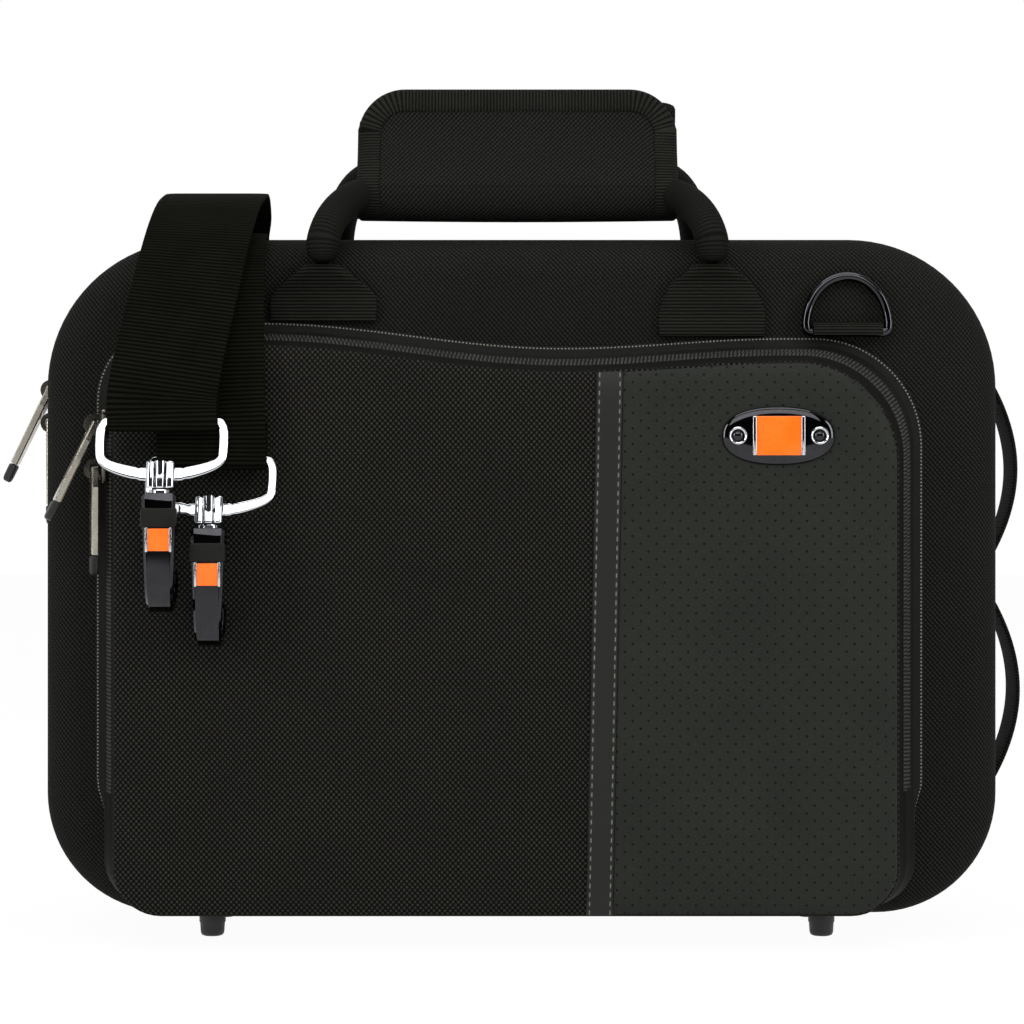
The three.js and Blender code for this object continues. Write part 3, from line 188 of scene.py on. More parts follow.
def make_piece(name, points, faces, corner_uv, material, body, crease=40):
    """Makes a mesh from points in mm and faces, joins its doubles, turns it outwards and lets it ride on
    its body. corner_uv holds one (u, v) in mm for each corner of each face, in the faces' order."""
    mesh = bpy.data.meshes.new(name)
    mesh.from_pydata((np.asarray(points, float) / 1000 + shift).tolist(), [], faces)
    layer = mesh.uv_layers.new(name="pattern")
    layer.data.foreach_set("uv", np.asarray(corner_uv, np.float32).ravel())
    shape = bmesh.new()
    shape.from_mesh(mesh)
    bmesh.ops.remove_doubles(shape, verts=shape.verts, dist=2e-6)
    bmesh.ops.recalc_face_normals(shape, faces=shape.faces)
    shape.to_mesh(mesh)
    shape.free()
    mesh.materials.append(material)
    mesh.shade_smooth()
    mesh.set_sharp_from_angle(angle=math.radians(crease))
    piece = bpy.data.objects.new(name, mesh)
    bpy.context.scene.collection.objects.link(piece)
    if body:
        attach(piece, body)
    return piece


def grid_piece(name, grid, uv, material, body, around=False, ends=False, crease=40):
    """A skin over points [row, column]. around joins the last column to the first, where uv has one column
    more than the grid. ends closes the first and the last row with one face each."""
    grid, uv = np.asarray(grid, float), np.asarray(uv, float)
    rows, columns = grid.shape[:2]
    i, j = np.meshgrid(np.arange(rows - 1), np.arange(columns - 1 + around), indexing="ij")
    at_rows = np.stack([i, i, i + 1, i + 1], -1).reshape(-1, 4)
    at_columns = np.stack([j, j + 1, j + 1, j], -1).reshape(-1, 4)
    faces = (at_rows * columns + at_columns % columns).tolist()
    corner_uv = uv[at_rows, at_columns].reshape(-1, 2)
    if ends:
        first = np.arange(columns)
        faces += [first[::-1].tolist(), (first + (rows - 1) * columns).tolist()]
        corner_uv = np.concatenate([corner_uv, uv[0, :columns][::-1], uv[-1, :columns]])
    return make_piece(name, grid.reshape(-1, 3), faces, corner_uv, material, body, crease)


def lengths_along(points):
    """Distance from the start of a path to each of its points."""
    steps = np.linalg.norm(np.diff(np.asarray(points, float), axis=0), axis=1)
    return np.concatenate([[0], np.cumsum(steps)])


def outline_columns(corners, corner_steps=20, straight_steps=30, closed=False):
    """Columns along an outline of round corners (x, z, radius, from, to) joined by straight stretches.
    Each column holds a centre, a radius and an outward direction, and along a straight stretch the
    centre slides to the next corner's while the direction stays."""
    columns = []
    for k, (x, z, radius, start, end) in enumerate(corners):
        last = k == len(corners) - 1
        angles = np.radians(np.linspace(start, end, corner_steps + 1))
        corner = np.array([[x, z, radius]])
        outward = np.stack([np.cos(angles), np.sin(angles)], 1)
        columns.append(np.hstack([np.repeat(corner, len(angles), 0), outward]))
        if last and not closed:
            break
        following = np.array(corners[(k + 1) % len(corners)][:3])
        slide = np.linspace(0, 1, straight_steps + 1)[1:-1, None]
        centre = corner * (1 - slide) + following * slide
        columns.append(np.hstack([centre, np.tile(columns[-1][-1, 3:], (len(centre), 1))]))
    return np.vstack(columns)


def ring(columns, inset, y):
    """The outline at an inset and one depth, as [x, y, z]: centre + direction * (radius - inset)."""
    reach = columns[:, 2] - inset
    return np.stack([columns[:, 0] + reach * columns[:, 3], np.full(len(reach), float(y)),
                     columns[:, 1] + reach * columns[:, 4]], 1)


def closed_uv(rows):
    """Repeats the first column of pattern coordinates after the last."""
    rows = np.asarray(rows, float)
    return np.concatenate([rows, rows[:, :1]], axis=1)


def rounding(radius, steps):
    """Insets and losses of depth of a quarter round that starts flat on the face and ends on the side."""
    angle = np.radians(np.linspace(90, 0, steps + 1))
    return np.stack([radius - radius * np.cos(angle), radius - radius * np.sin(angle)], 1)


case_corners = [(-low_x, low_z, bottom_radius, 270, 180), (-top_x, top_z, top_radius, 180, 90),
                (top_x, top_z, top_radius, 90, 0), (low_x, low_z, bottom_radius, 0, -90)]
case_line = outline_columns(case_corners, closed=True)


def face_rows(inset, y, scales):
    """Rings from the middle of a flat face out to an inset."""
    edge = ring(case_line, inset, y)
    middle = np.array([0, y, case_bottom + case_height / 2])
    return [middle + (edge - middle) * scale for scale in scales]


def shell_skin(name, body, depth, side, material):
    """From the middle of the outer face round the edge into the rim, and back to the middle inside.
    The pattern is flat on the face and goes on outwards along each column's direction past the edge."""
    rows = face_rows(edge_radius, side * depth, (0, 0.4, 0.8, 0.95))
    runs = [None] * len(rows)
    insets = [(inset, depth - lost) for inset, lost in rounding(edge_radius, 10)]
    insets += [(0, depth * 0.6), (0, rim_width + rim_slope + 1.2), (0.3, rim_width + rim_slope + 0.2),
               (1.3, rim_width + 0.5), (rim_inset, rim_width), (rim_inset, half_seat), (side_wall, half_seat)]
    insets += [(side_wall + inset, depth - face_wall - lost)
               for inset, lost in rounding(inner_edge_radius, 4)[::-1]]
    rows += [ring(case_line, inset, side * y) for inset, y in insets]
    runs += list(lengths_along(insets))
    rows += face_rows(side_wall + inner_edge_radius, side * (depth - face_wall), (0.9, 0.4, 0))
    runs += [None] * 3
    grid = np.stack(rows)
    rim = ring(case_line, edge_radius, 0)[:, [0, 2]]
    uv = [row[:, [0, 2]] if run is None else rim + run * case_line[:, 3:5] for row, run in zip(rows, runs)]
    return grid_piece(name, grid, closed_uv(uv), material, body, around=True, crease=50)


# Nylon, dyed black. The pocket is ballistic nylon, a plain weave of thick yarn in which each crossing shows
# as a paler dash on a dark ground. The shells and grips are a finer, quieter twill with slanting ribs.
def paint(material, shader, tone, dark, pale, height, depth, strength=0.7):
    """Mixes two colours by a tone from 0 to 1, and raises the surface by a height times a depth in mm."""
    mix = add_node(material, "Mix", {0: tone, 6: colour(dark), 7: colour(pale)}, data_type="RGBA")
    material.node_tree.links.new(mix.outputs[2], shader.inputs["Base Color"])
    bump = add_node(material, "Bump", {"Height": height, "Distance": depth / 1000, "Strength": strength})
    material.node_tree.links.new(bump.outputs[0], shader.inputs["Normal"])
    return material


def woven(name, dark, pale, pitch, depth, twill=0.0, **shader_values):
    """Cloth in which the product of a sine across and a sine up is high where one yarn lies on top, plus a
    share of the sine of both turns together, which draws a twill's slanting rib. It pales the yarn and
    raises the crossing. Noise makes the yarn uneven and the cloth a little blotchy."""
    material, shader = finish_of(name, dark, **shader_values)
    place = add_node(material, "TexCoord").outputs["UV"]
    across = add_node(material, "SeparateXYZ", [place])
    turns = [add_node(material, "Math", [across.outputs[k], 2 * math.pi / pitch[k]], operation="MULTIPLY")
             for k in (0, 1)]
    sines = [add_node(material, "Math", [turn], operation="SINE") for turn in turns]
    crossing = add_node(material, "Math", sines, operation="MULTIPLY")
    slanting = add_node(material, "Math", turns, operation="ADD")
    rib = add_node(material, "Math", [slanting], operation="SINE")
    crossing = add_node(material, "Math", [rib, twill, crossing], operation="MULTIPLY_ADD")
    fibres = add_node(material, "TexNoise", {"Vector": place, "Scale": 1.3, "Detail": 2.0})
    blotches = add_node(material, "TexNoise", {"Vector": place, "Scale": 0.035, "Detail": 3.0})
    cloudy = add_node(material, "Math", [blotches, 0.6], operation="ADD")
    uneven = add_node(material, "Math", [fibres, 1.2, 0.1], operation="MULTIPLY_ADD")
    uneven = add_node(material, "Math", [uneven, cloudy], operation="MULTIPLY")
    lit_yarn = add_node(material, "Math", [crossing, uneven], operation="MULTIPLY")
    tone = add_node(material, "MapRange", {"Value": lit_yarn, "From Min": -0.1, "From Max": 0.75})
    return paint(material, shader, tone, dark, pale, crossing, depth)


nylon = woven("black_ballistic_nylon", "#030302", "#2e2d28", (1.9, 2.1), 0.3,
              Roughness=0.8, Specular_IOR_Level=0.08)
twill = woven("black_twill_nylon", "#0c0c0b", "#21211e", (1.7, 1.9), 0.12, 0.7,
              Roughness=0.85, Specular_IOR_Level=0.05)
for name, body, depth, side in (("lid_skin", "lid", lid_depth, -1), ("base_skin", "base", base_depth, 1)):
    shell = shell_skin(name, body, depth, side, twill)
    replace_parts(shell, f"{body}_shell")


# Zipper round the rims: a woven tape on each side with half of the coil along its free edge, and a
# piping of covered cord where the tape is sewn under the shell's edge.
tape_thickness, coil_width, coil_height, piping_width, piping_height = 1.2, 2.6, 1.1, 2.6, 1.2
tape_end = 78
zip_corners = [(*case_corners[0][:3], 180 + tape_end, 180), case_corners[1], case_corners[2],
               (*case_corners[3][:3], 0, -tape_end)]
zip_line = outline_columns(zip_corners, 24, 60)


def crossed(u, v):
    """Pattern coordinates [row, column] with one u for each row and one v for each column."""
    return np.stack(np.broadcast_arrays(u[:, None], v[None, :]), -1)


def swept_piece(name, columns, section, material, body):
    """Carries a closed section of (height over the wall, y) points along an outline. The pattern runs
    along the outline in u and round the section in v."""
    rings = np.stack([ring(columns, -height, y) for height, y in section], axis=1)
    uv = crossed(lengths_along(rings[:, 0]), lengths_along([*section, section[0]]))
    return grid_piece(name, rings, uv, material, body, around=True, ends=True)


def barred(name, dark, pale, pitch, depth, **shader_values):
    """Ribs across a band: a sine along u, cut off high up, so that a rib is broad and its gap narrow.
    Noise frays the ribs, and a broad noise fades them here and there."""
    material, shader = finish_of(name, dark, **shader_values)
    place = add_node(material, "TexCoord").outputs["UV"]
    along = add_node(material, "SeparateXYZ", [place])
    turn = add_node(material, "Math", [along.outputs[0], 2 * math.pi / pitch], operation="MULTIPLY")
    wave = add_node(material, "Math", [turn], operation="SINE")
    rib = add_node(material, "MapRange", {"Value": wave, "From Min": -1.0, "From Max": 0.6})
    fuzz = add_node(material, "TexNoise", {"Vector": place, "Scale": 2.2, "Detail": 2.0})
    cloudy = add_node(material, "TexNoise", {"Vector": place, "Scale": 0.08, "Detail": 2.0})
    worn = add_node(material, "Math", [fuzz, 0.35], operation="ADD")
    faded = add_node(material, "Math", [cloudy, 0.5], operation="ADD")
    worn = add_node(material, "Math", [worn, faded], operation="MULTIPLY")
    tone = add_node(material, "Math", [rib, worn], operation="MULTIPLY")
    height = add_node(material, "Math", [fuzz, 0.35, rib], operation="MULTIPLY_ADD")
    return paint(material, shader, tone, dark, pale, height, depth)


# Polyester tape in a finer weave, a nylon coil whose turns lie 1.3 mm apart, and binding tape.
zipper_tape = woven("twill_zipper_tape", "#070707", "#1c1c1a", (0.9, 1.1), 0.1,
                    Roughness=0.8, Specular_IOR_Level=0.1)
zipper_coil = barred("moulded_nylon_coil", "#040404", "#2c2c2a", 1.3, 0.5,
                     Roughness=0.45, Specular_IOR_Level=0.2)
binding = barred("binding_tape", "#060606", "#20201e", 0.9, 0.12, Roughness=0.8, Specular_IOR_Level=0.1)
tape_floor = seat - rim_inset
tape_face = tape_floor + tape_thickness
tape_edge = rim_width - seat
sunk = 0.2


def half_round(start, width, height):
    """Section of a half-round cord on the tape from y = start on, with its foot sunk into the tape."""
    foot = tape_face - sunk
    return [(foot + (height + sunk) * math.sin(a), start + width * (1 - math.cos(a)) / 2)
            for a in np.radians(np.linspace(0, 180, 7))]


band = [(tape_floor, half_seat), (tape_face, half_seat), (tape_face, tape_edge), (tape_floor, tape_edge)]
bead = half_round(half_seat, coil_width, coil_height)
cord = half_round(tape_edge - piping_width, piping_width, piping_height)
for body, side in (("lid", -1), ("base", 1)):
    tape = swept_piece(f"{body}_zip_tape", zip_line, [(h, side * y) for h, y in band], zipper_tape, body)
    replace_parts(tape, f"{body}_zipper_tape")
    coil = swept_piece(f"{body}_zip_coil", zip_line, [(h, side * y) for h, y in bead], zipper_coil, body)
    piping = swept_piece(f"{body}_piping", zip_line, [(h, side * y) for h, y in cord], binding, body)

# Hinge: one strip of the shells' twill, sewn along the bottom of both shells. It starts just past the
# ends of the zipper tape.
hinge_end = tape_end + 0.6
hinge_corners = [(*case_corners[3][:3], -hinge_end, -90), (*case_corners[0][:3], 270, 180 + hinge_end)]
across = np.linspace(-tape_edge, tape_edge, 25)
strip = [(tape_face, y) for y in across] + [(tape_floor, y) for y in across[::-1]]
hinge = swept_piece("hinge_strip", outline_columns(hinge_corners, 24, 40), strip, twill, None)
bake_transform(hinge)
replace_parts(hinge, "base_hinge_fabric", "lid_hinge_fabric")


# Feet: moulded rubber studs screwed up into the walls. They taper a little and end in a rounded rim. The
# rubber is a soft half-matt black with a fine grain.
def turned_piece(name, profile, centre, material, body, axis="z", sides=40, crease=35):
    """A solid of revolution through (radius, height) points. axis z stands up, and axis y faces forward."""
    profile = np.asarray(profile, float)
    angle = np.linspace(0, 2 * math.pi, sides, endpoint=False)
    across = profile[:, :1] * np.cos(angle)
    along = profile[:, :1] * np.sin(angle)
    up = np.repeat(profile[:, 1:], sides, 1)
    placed = [across, along, up] if axis == "z" else [across, -up, along]
    grid = np.stack(placed, -1) + np.asarray(centre, float)
    girth = np.linspace(0, 2 * math.pi, sides + 1)[None, :] * np.max(profile[:, 0])
    uv = np.stack(np.broadcast_arrays(girth, lengths_along(profile)[:, None]), -1)
    return grid_piece(name, grid, uv, material, body, around=True, crease=crease)


def speckled(name, dark, pale, grain, depth, rough, **shader_values):
    """A moulded or cast skin on object coordinates: noise of a grain size in mm roughens and shades it,
    and a noise of about 9 mm dulls it here and there."""
    material, shader = finish_of(name, dark, **shader_values)
    place = add_node(material, "TexCoord").outputs["Object"]
    fine = add_node(material, "TexNoise", {"Vector": place, "Scale": 1000 / grain, "Detail": 3.0})
    broad = add_node(material, "TexNoise", {"Vector": place, "Scale": 110.0, "Detail": 2.0})
    dulled = add_node(material, "MapRange", {
        "Value": broad, "From Min": 0.3, "From Max": 0.7, "To Min": rough * 0.75, "To Max": rough * 1.3})
    material.node_tree.links.new(dulled.outputs[0], shader.inputs["Roughness"])
    tone = add_node(material, "Math", [fine, broad], operation="MULTIPLY")
    return paint(material, shader, tone, dark, pale, fine, depth, 0.5)


rubber = speckled("moulded_rubber", "#121212", "#2a2a2a", 0.5, 0.08, 0.5, Specular_IOR_Level=0.4)
foot_profile = [(0, 0), (3.1, 0), (3.8, 0.3), (4.2, 0.9), (4.35, 1.8), (4.5, 4.6), (4.8, 5.2),
                (4.8, case_bottom - seat), (0, case_bottom - seat)]
for body, y in (("lid", -22), ("base", 27)):
    for end, x in (("left", 60.3 - case_side), ("right", case_side - 63.7)):
        foot = turned_piece(f"{body}_stud_{end}", foot_profile, (x, y, 0), rubber, body)
        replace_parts(foot, f"{body}_foot_{end}")


# Lining: short plush over foam. The tray in the base is moulded to hold the parts of the instrument, and
# a thin pad lines the lid. Their edges are soft, so the CAD solids are remeshed and smoothed.
def plush_pile(name, base, lit_edge):
    """Short pile: fine noise stands the fibres up, and sheen pales them where they are seen edge on."""
    material, shader = finish_of(name, base, Roughness=0.95, Specular_IOR_Level=0.1, Sheen_Weight=0.35,
                                 Sheen_Roughness=0.5, Sheen_Tint=colour(lit_edge))
    place = add_node(material, "TexCoord").outputs["Object"]
    fibres = add_node(material, "TexNoise", {"Vector": place, "Scale": 1400.0, "Detail": 3.0})
    brushed = add_node(material, "TexNoise", {"Vector": place, "Scale": 60.0, "Detail": 2.0})
    lay = add_node(material, "Math", [brushed, 0.4], operation="ADD")
    tone = add_node(material, "Math", [fibres, lay], operation="MULTIPLY")
    return paint(material, shader, tone, base, lit_edge, fibres, 0.4, 0.9)


plush = plush_pile("short_plush", "#1d1b20", "#3a373e")


def joined_copy(node, name):
    """A copy of a CAD solid with its loose triangles joined and its flat faces made whole."""
    mesh = next(o for o in bpy.data.objects if o.name == node).data.copy()
    mesh.name = name
    shape = bmesh.new()
    shape.from_mesh(mesh)
    bmesh.ops.remove_doubles(shape, verts=shape.verts, dist=1e-6)
    bmesh.ops.dissolve_limit(shape, angle_limit=math.radians(1.5), verts=shape.verts, edges=shape.edges)
    shape.to_mesh(mesh)
    shape.free()
    mesh.materials.clear()
    piece = bpy.data.objects.new(name, mesh)
    bpy.context.scene.collection.objects.link(piece)
    return piece


def with_modifiers_applied(piece):
    """Puts the result of a piece's modifiers into its mesh and takes them off."""
    result = bpy.data.meshes.new_from_object(piece.evaluated_get(bpy.context.evaluated_depsgraph_get()))
    piece.modifiers.clear()
    piece.data = result
    return piece


for node, body, name in (("base_tray", "base", "moulded_tray"), ("lid_pad", "lid", "lid_lining")):
    lining = joined_copy(node, name)
    remesh = lining.modifiers.new("remesh", "REMESH")
    remesh.mode = "VOXEL"
    remesh.voxel_size = 0.0026
    soften = lining.modifiers.new("soften", "SMOOTH")
    soften.iterations = 5
    lining = with_modifiers_applied(lining)
    lining.data.materials.clear()
    lining.data.materials.append(plush)
    lining.data.shade_smooth()
    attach(lining, body)
    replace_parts(lining, node)


# Front pocket: a cover of ballistic nylon that leans in towards the front and is lightly padded, so its
# face crowns. It is sewn to the lid along the bottom, creases above that, and zips to a wall on the lid.
pocket_back, pocket_depth, pocket_crease = -(lid_depth + seat), 24, 52
pocket_front, pocket_zip = pocket_back - pocket_depth, pocket_back - 8.4
panel_face = pocket_front - 4
pocket_low, pocket_crown, pocket_wall, pocket_flange = 12, 3.4, 1.8, 3
pocket_left, pocket_right = 22.5 - case_side, case_side - 31.2
lean_left, lean_right, lean_top = 6.5, 9, 7
top_high, top_low, top_right = case_top - 33.7, case_top - 42.7, case_top - 39.2
high_at, low_at, right_at = pocket_left + 55.5, 15, pocket_right - 46.8
round_left, round_right, round_low = 26, 36, 17


def pocket_top(x):
    """Top edge on the lid: two half waves of a cosine, from high on the left through low to the right."""
    fall = np.clip((x - high_at) / (low_at - high_at), 0, 1)
    climb = np.clip((x - low_at) / (right_at - low_at), 0, 1)
    left = top_low + (top_high - top_low) * (1 + np.cos(math.pi * fall)) / 2
    right = top_right + (top_low - top_right) * (1 + np.cos(math.pi * climb)) / 2
    return np.where(x < low_at, left, right)


def pocket_ring(inset, lean, y):
    """The pocket's outline as [x, y, z]: its sides and top draw in by their lean, then all by the inset.
    It starts at the bottom left corner and runs up, over, down and back along the bottom."""
    left, right = pocket_left + lean_left * lean + inset, pocket_right - lean_right * lean - inset
    drop, low = lean_top * lean + inset, pocket_low + inset
    radii = [max(radius - inset, 2) for radius in (round_low, round_left, round_right)]
    from_x, to_x = left + radii[1], right - radii[2]
    high, end = (float(pocket_top(at)) - drop for at in (from_x, to_x))
    edge = np.linspace(from_x, to_x, 62)[1:-1]

    def corner(x, z, radius, start, stop, steps):
        angle = np.radians(np.linspace(start, stop, steps))
        return np.stack([x + radius * np.cos(angle), z + radius * np.sin(angle)], 1)

    def upright(x, start, stop):
        return np.stack([np.full(44, x), np.linspace(start, stop, 46)[1:-1]], 1)

    line = np.vstack([
        corner(left + radii[0], low + radii[0], radii[0], 270, 180, 11),
        upright(left, low + radii[0], high - radii[1]),
        corner(from_x, high - radii[1], radii[1], 180, 90, 15),
        np.stack([edge, pocket_top(edge) - drop], 1),
        corner(to_x, end - radii[2], radii[2], 90, 0, 19),
        upright(right, end - radii[2], low + radii[0]),
        corner(right - radii[0], low + radii[0], radii[0], 0, -90, 11)])
    return np.stack([line[:, 0], np.broadcast_to(y, len(line)), line[:, 1]], 1)


def lean_at(y):
    """How far the wall leans in at a depth: smoothstep of the share of the depth, bent a little early."""
    share = np.clip((pocket_back - y) / pocket_depth, 0, 1) ** 0.68
    return float(share * share * (3 - 2 * share))


def crown_at(distance):
    """How far the face stands forward at a distance from its edge: a rise that levels off over 10 mm."""
    return pocket_crown * (1 - np.exp(-(np.maximum(distance, 0) / 4) ** 0.7))


def lined_up(rings, planar):
    """Pattern coordinates of stacked rings: flat (x, z) where planar, else length along and across."""
    along = lengths_along(rings[len(rings) // 2])
    across = lengths_along(rings[:, rings.shape[1] // 3])
    wound = np.stack(np.broadcast_arrays(along[None, :], across[:, None]), -1)
    return np.where(np.asarray(planar)[:, None, None], rings[:, :, [0, 2]], wound)


def pocket_shell(name, outer, inner, material, body):
    """A wall between two lists of (inset, lean, y) rings, closed round its edges. A fourth value in a
    ring scales it about its middle. The pattern is flat on the face and wound round elsewhere."""
    stations = [*outer, *inner[::-1], outer[0]]
    rings = []
    for station in stations:
        rings.append(pocket_ring(*station[:3]))
        if len(station) > 3:
            middle = np.array([rings[-1][:, 0].mean(), station[2], rings[-1][:, 2].mean()])
            rings[-1] = middle + (rings[-1] - middle) * station[3]
    rings = np.stack(rings)
    planar = [len(station) > 3 or station[2] < pocket_front for station in stations]
    uv = lined_up(rings, planar)
    return grid_piece(name, rings, closed_uv(uv), material, body, around=True, crease=55)


def cover_rows(back, wall):
    """Rings of the cover from the zipper forward, over its edge and in to the middle of its face."""
    rows = [(wall, lean_at(y), y) for y in np.linspace(back, pocket_front, 14)]
    insets = np.array([0.12, 0.35, 0.7, 1.2, 1.9, 2.8, 4, 5.6, 7.6, 10, 13, 17, 21])
    rows += [(wall + inset, 1, pocket_front - crown_at(inset) + wall) for inset in insets]
    face = pocket_front - pocket_crown + wall
    return rows + [(21, 1, face, scale) for scale in (0.85, 0.6, 0.3, 0)]


def bends_at_crease(piece):
    """Puts the piece's place into its mesh and leaves it on no body."""
    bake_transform(piece)
    return piece


cover = pocket_shell("pocket_cover_skin", cover_rows(pocket_zip - half_seat, 0),
                     cover_rows(pocket_zip - half_seat, pocket_wall), nylon, None)
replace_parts(bends_at_crease(cover), "pocket_panel_nylon", "pocket_gusset", "pocket_trough")


# Wall of the pocket on the lid: woven tape with a smooth turned edge that is stitched down to the lid.
# The stitches are small pale dashes 1.25 mm apart, and end where the zipper does.
def dashed(name, dark, pale, rows_at, pitch, width, **shader_values):
    """Smooth tape with stitches: dashes where v lies within half a width of a row and a sine of u is high."""
    material, shader = finish_of(name, dark, **shader_values)
    place = add_node(material, "TexCoord").outputs["UV"]
    axes = add_node(material, "SeparateXYZ", [place])
    turn = add_node(material, "Math", [axes.outputs[0], 2 * math.pi / pitch], operation="MULTIPLY")
    wave = add_node(material, "Math", [turn], operation="SINE")
    stitch = None
    for at in rows_at:
        near = add_node(material, "Math", [axes.outputs[1], at, width / 2], operation="COMPARE")
        stitch = near if stitch is None else add_node(material, "Math", [stitch, near], operation="MAXIMUM")
    dash = add_node(material, "MapRange", {"Value": wave, "From Min": -0.4, "From Max": 0.5})
    dash = add_node(material, "Math", [dash, stitch], operation="MULTIPLY")
    grain = add_node(material, "TexNoise", {"Vector": place, "Scale": 1.6, "Detail": 3.0})
    tone = add_node(material, "Math", [grain, 0.06, dash], operation="MULTIPLY_ADD")
    return paint(material, shader, tone, dark, pale, tone, 0.25)


edge_tape = dashed("stitched_edge_tape", "#080807", "#66665e", (1.75,), 1.25, 0.55,
                   Roughness=0.7, Specular_IOR_Level=0.1)
flange_rows = [(-pocket_flange, pocket_back), (-pocket_flange, pocket_back - 0.9),
               (-pocket_flange + 0.5, pocket_back - 1.3), (-1.2, pocket_back - 1.35), (0, pocket_back - 1.8)]
wall_rows = [(0, y) for y in np.linspace(pocket_back - 2.6, pocket_zip + half_seat, 6)]
inner_rows = [(pocket_wall, y) for y in np.linspace(pocket_zip + half_seat, pocket_back, 4)]


def fold_round_lid(rings):
    """Lays the edge that meets the lid on the lid's rounded edge: depth = 20 + sqrt(14^2 - (14 - inset)^2),
    where inset is the distance from the case's outline."""
    x, z = rings[..., 0], rings[..., 2]
    over, under = np.abs(x) - low_x, low_z - z
    corner = bottom_radius - np.hypot(np.maximum(over, 0), np.maximum(under, 0))
    inset = np.where((over > 0) & (under > 0), corner, np.minimum(case_side - np.abs(x), z - case_bottom))
    short = edge_radius - np.clip(inset, 0, edge_radius)
    depth = lid_depth - edge_radius + np.sqrt(edge_radius ** 2 - short ** 2)
    share = np.clip((rings[..., 1] - (pocket_zip + 1)) / (pocket_back - pocket_zip - 1), 0, 1)
    rings[..., 1] += (lid_depth - depth) * share
    return rings


# The flange fades out over the 9 mm round the crease, where the zipper ends.
foot_z = pocket_ring(0, 0, pocket_back)[:, 2]
fade = np.clip((foot_z - (pocket_crease - 5)) / 9, 0, 1)[:, None]
rings = []
for inset, y in [*flange_rows, *wall_rows, *inner_rows, flange_rows[0]]:
    line, plain = pocket_ring(inset, lean_at(y), y), pocket_ring(0, lean_at(y), y)
    rings.append(np.where(fade < 1, plain + (line - plain) * fade, line) if inset < 0 else line)
rings = fold_round_lid(np.stack(rings))
uv = closed_uv(lined_up(rings, [False] * len(rings)))
wall = grid_piece("pocket_lid_wall", rings, uv, edge_tape, "lid", around=True)
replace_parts(wall, "pocket_zipper_tape")

# Coil of the pocket's zipper: two ribbed halves that lie side by side on the wall and on the cover.
pocket_coil = barred("fine_nylon_coil", "#030303", "#343430", 1.4, 0.5,
                     Roughness=0.5, Specular_IOR_Level=0.15)
upper = np.flatnonzero(pocket_ring(0, 0.4, 0)[:, 2] > pocket_crease + seat)
for name, way, body in (("pocket_coil_fixed", 1, "lid"), ("pocket_coil_moving", -1, None)):
    rows = []
    for angle in np.radians(np.linspace(0, 180, 8)):
        y = pocket_zip + way * (half_seat + 2.4 * (1 - math.cos(angle)) / 2)
        rows.append(pocket_ring(-0.9 * math.sin(angle) + 0.1, lean_at(y), y)[upper])
    rings = np.stack(rows, 1)
    uv = crossed(lengths_along(rings[:, 4]), np.arange(9.0))
    coil = grid_piece(name, rings, uv, pocket_coil, body, around=True, ends=True)
    if body is None:
        bends_at_crease(coil)


# Right part of the cover: perforated leatherette, a vinyl skin on cloth with a fine leather grain and
# rows of punched pinholes. A smooth strip with a row of stitches inside both edges covers its left edge.
front_right = pocket_right - lean_right
trim_width, trim_low, trim_high, trim_height = 9.6, 23.2, 26.8, 188
leather_inset, trim_inset = 0.9, 0.6


def face_y(x, z):
    """Depth of the cover's face at (x, z): the crown at the distance from the nearest edge or corner."""
    over_x = x - (front_right - round_right)
    corner_z = pocket_top(np.full_like(x, front_right - round_right)) - lean_top - round_right
    in_top = (over_x > 0) & (z > corner_z)
    in_low = (x > front_right - round_low) & (z < pocket_low + round_low)
    plain = np.minimum(np.minimum(front_right - x, z - pocket_low), pocket_top(x) - lean_top - z)
    top = round_right - np.hypot(over_x, z - corner_z)
    low = round_low - np.hypot(x - front_right + round_low, z - pocket_low - round_low)
    return pocket_front - crown_at(np.where(in_top, top, np.where(in_low, low, plain)))


def slab_piece(name, x, z, height, uv, material):
    """A sheet on the cover's face over grids of x and z, as high as height says and let in by 0.5 mm."""
    ground = face_y(x, z)
    front = np.stack([x, ground - height, z], -1)
    back = np.stack([x, ground + 0.5, z], -1)
    grid = np.concatenate([front, back[:, ::-1]], 1)
    return bends_at_crease(grid_piece(name, grid, closed_uv(np.concatenate([uv, uv[:, ::-1]], 1)), material,
                                      None, around=True, ends=True, crease=50))


def slant(z):
    """How far the trim strip has moved to the right at a height."""
    return (trim_high - trim_low) * (z - pocket_crease) / trim_height


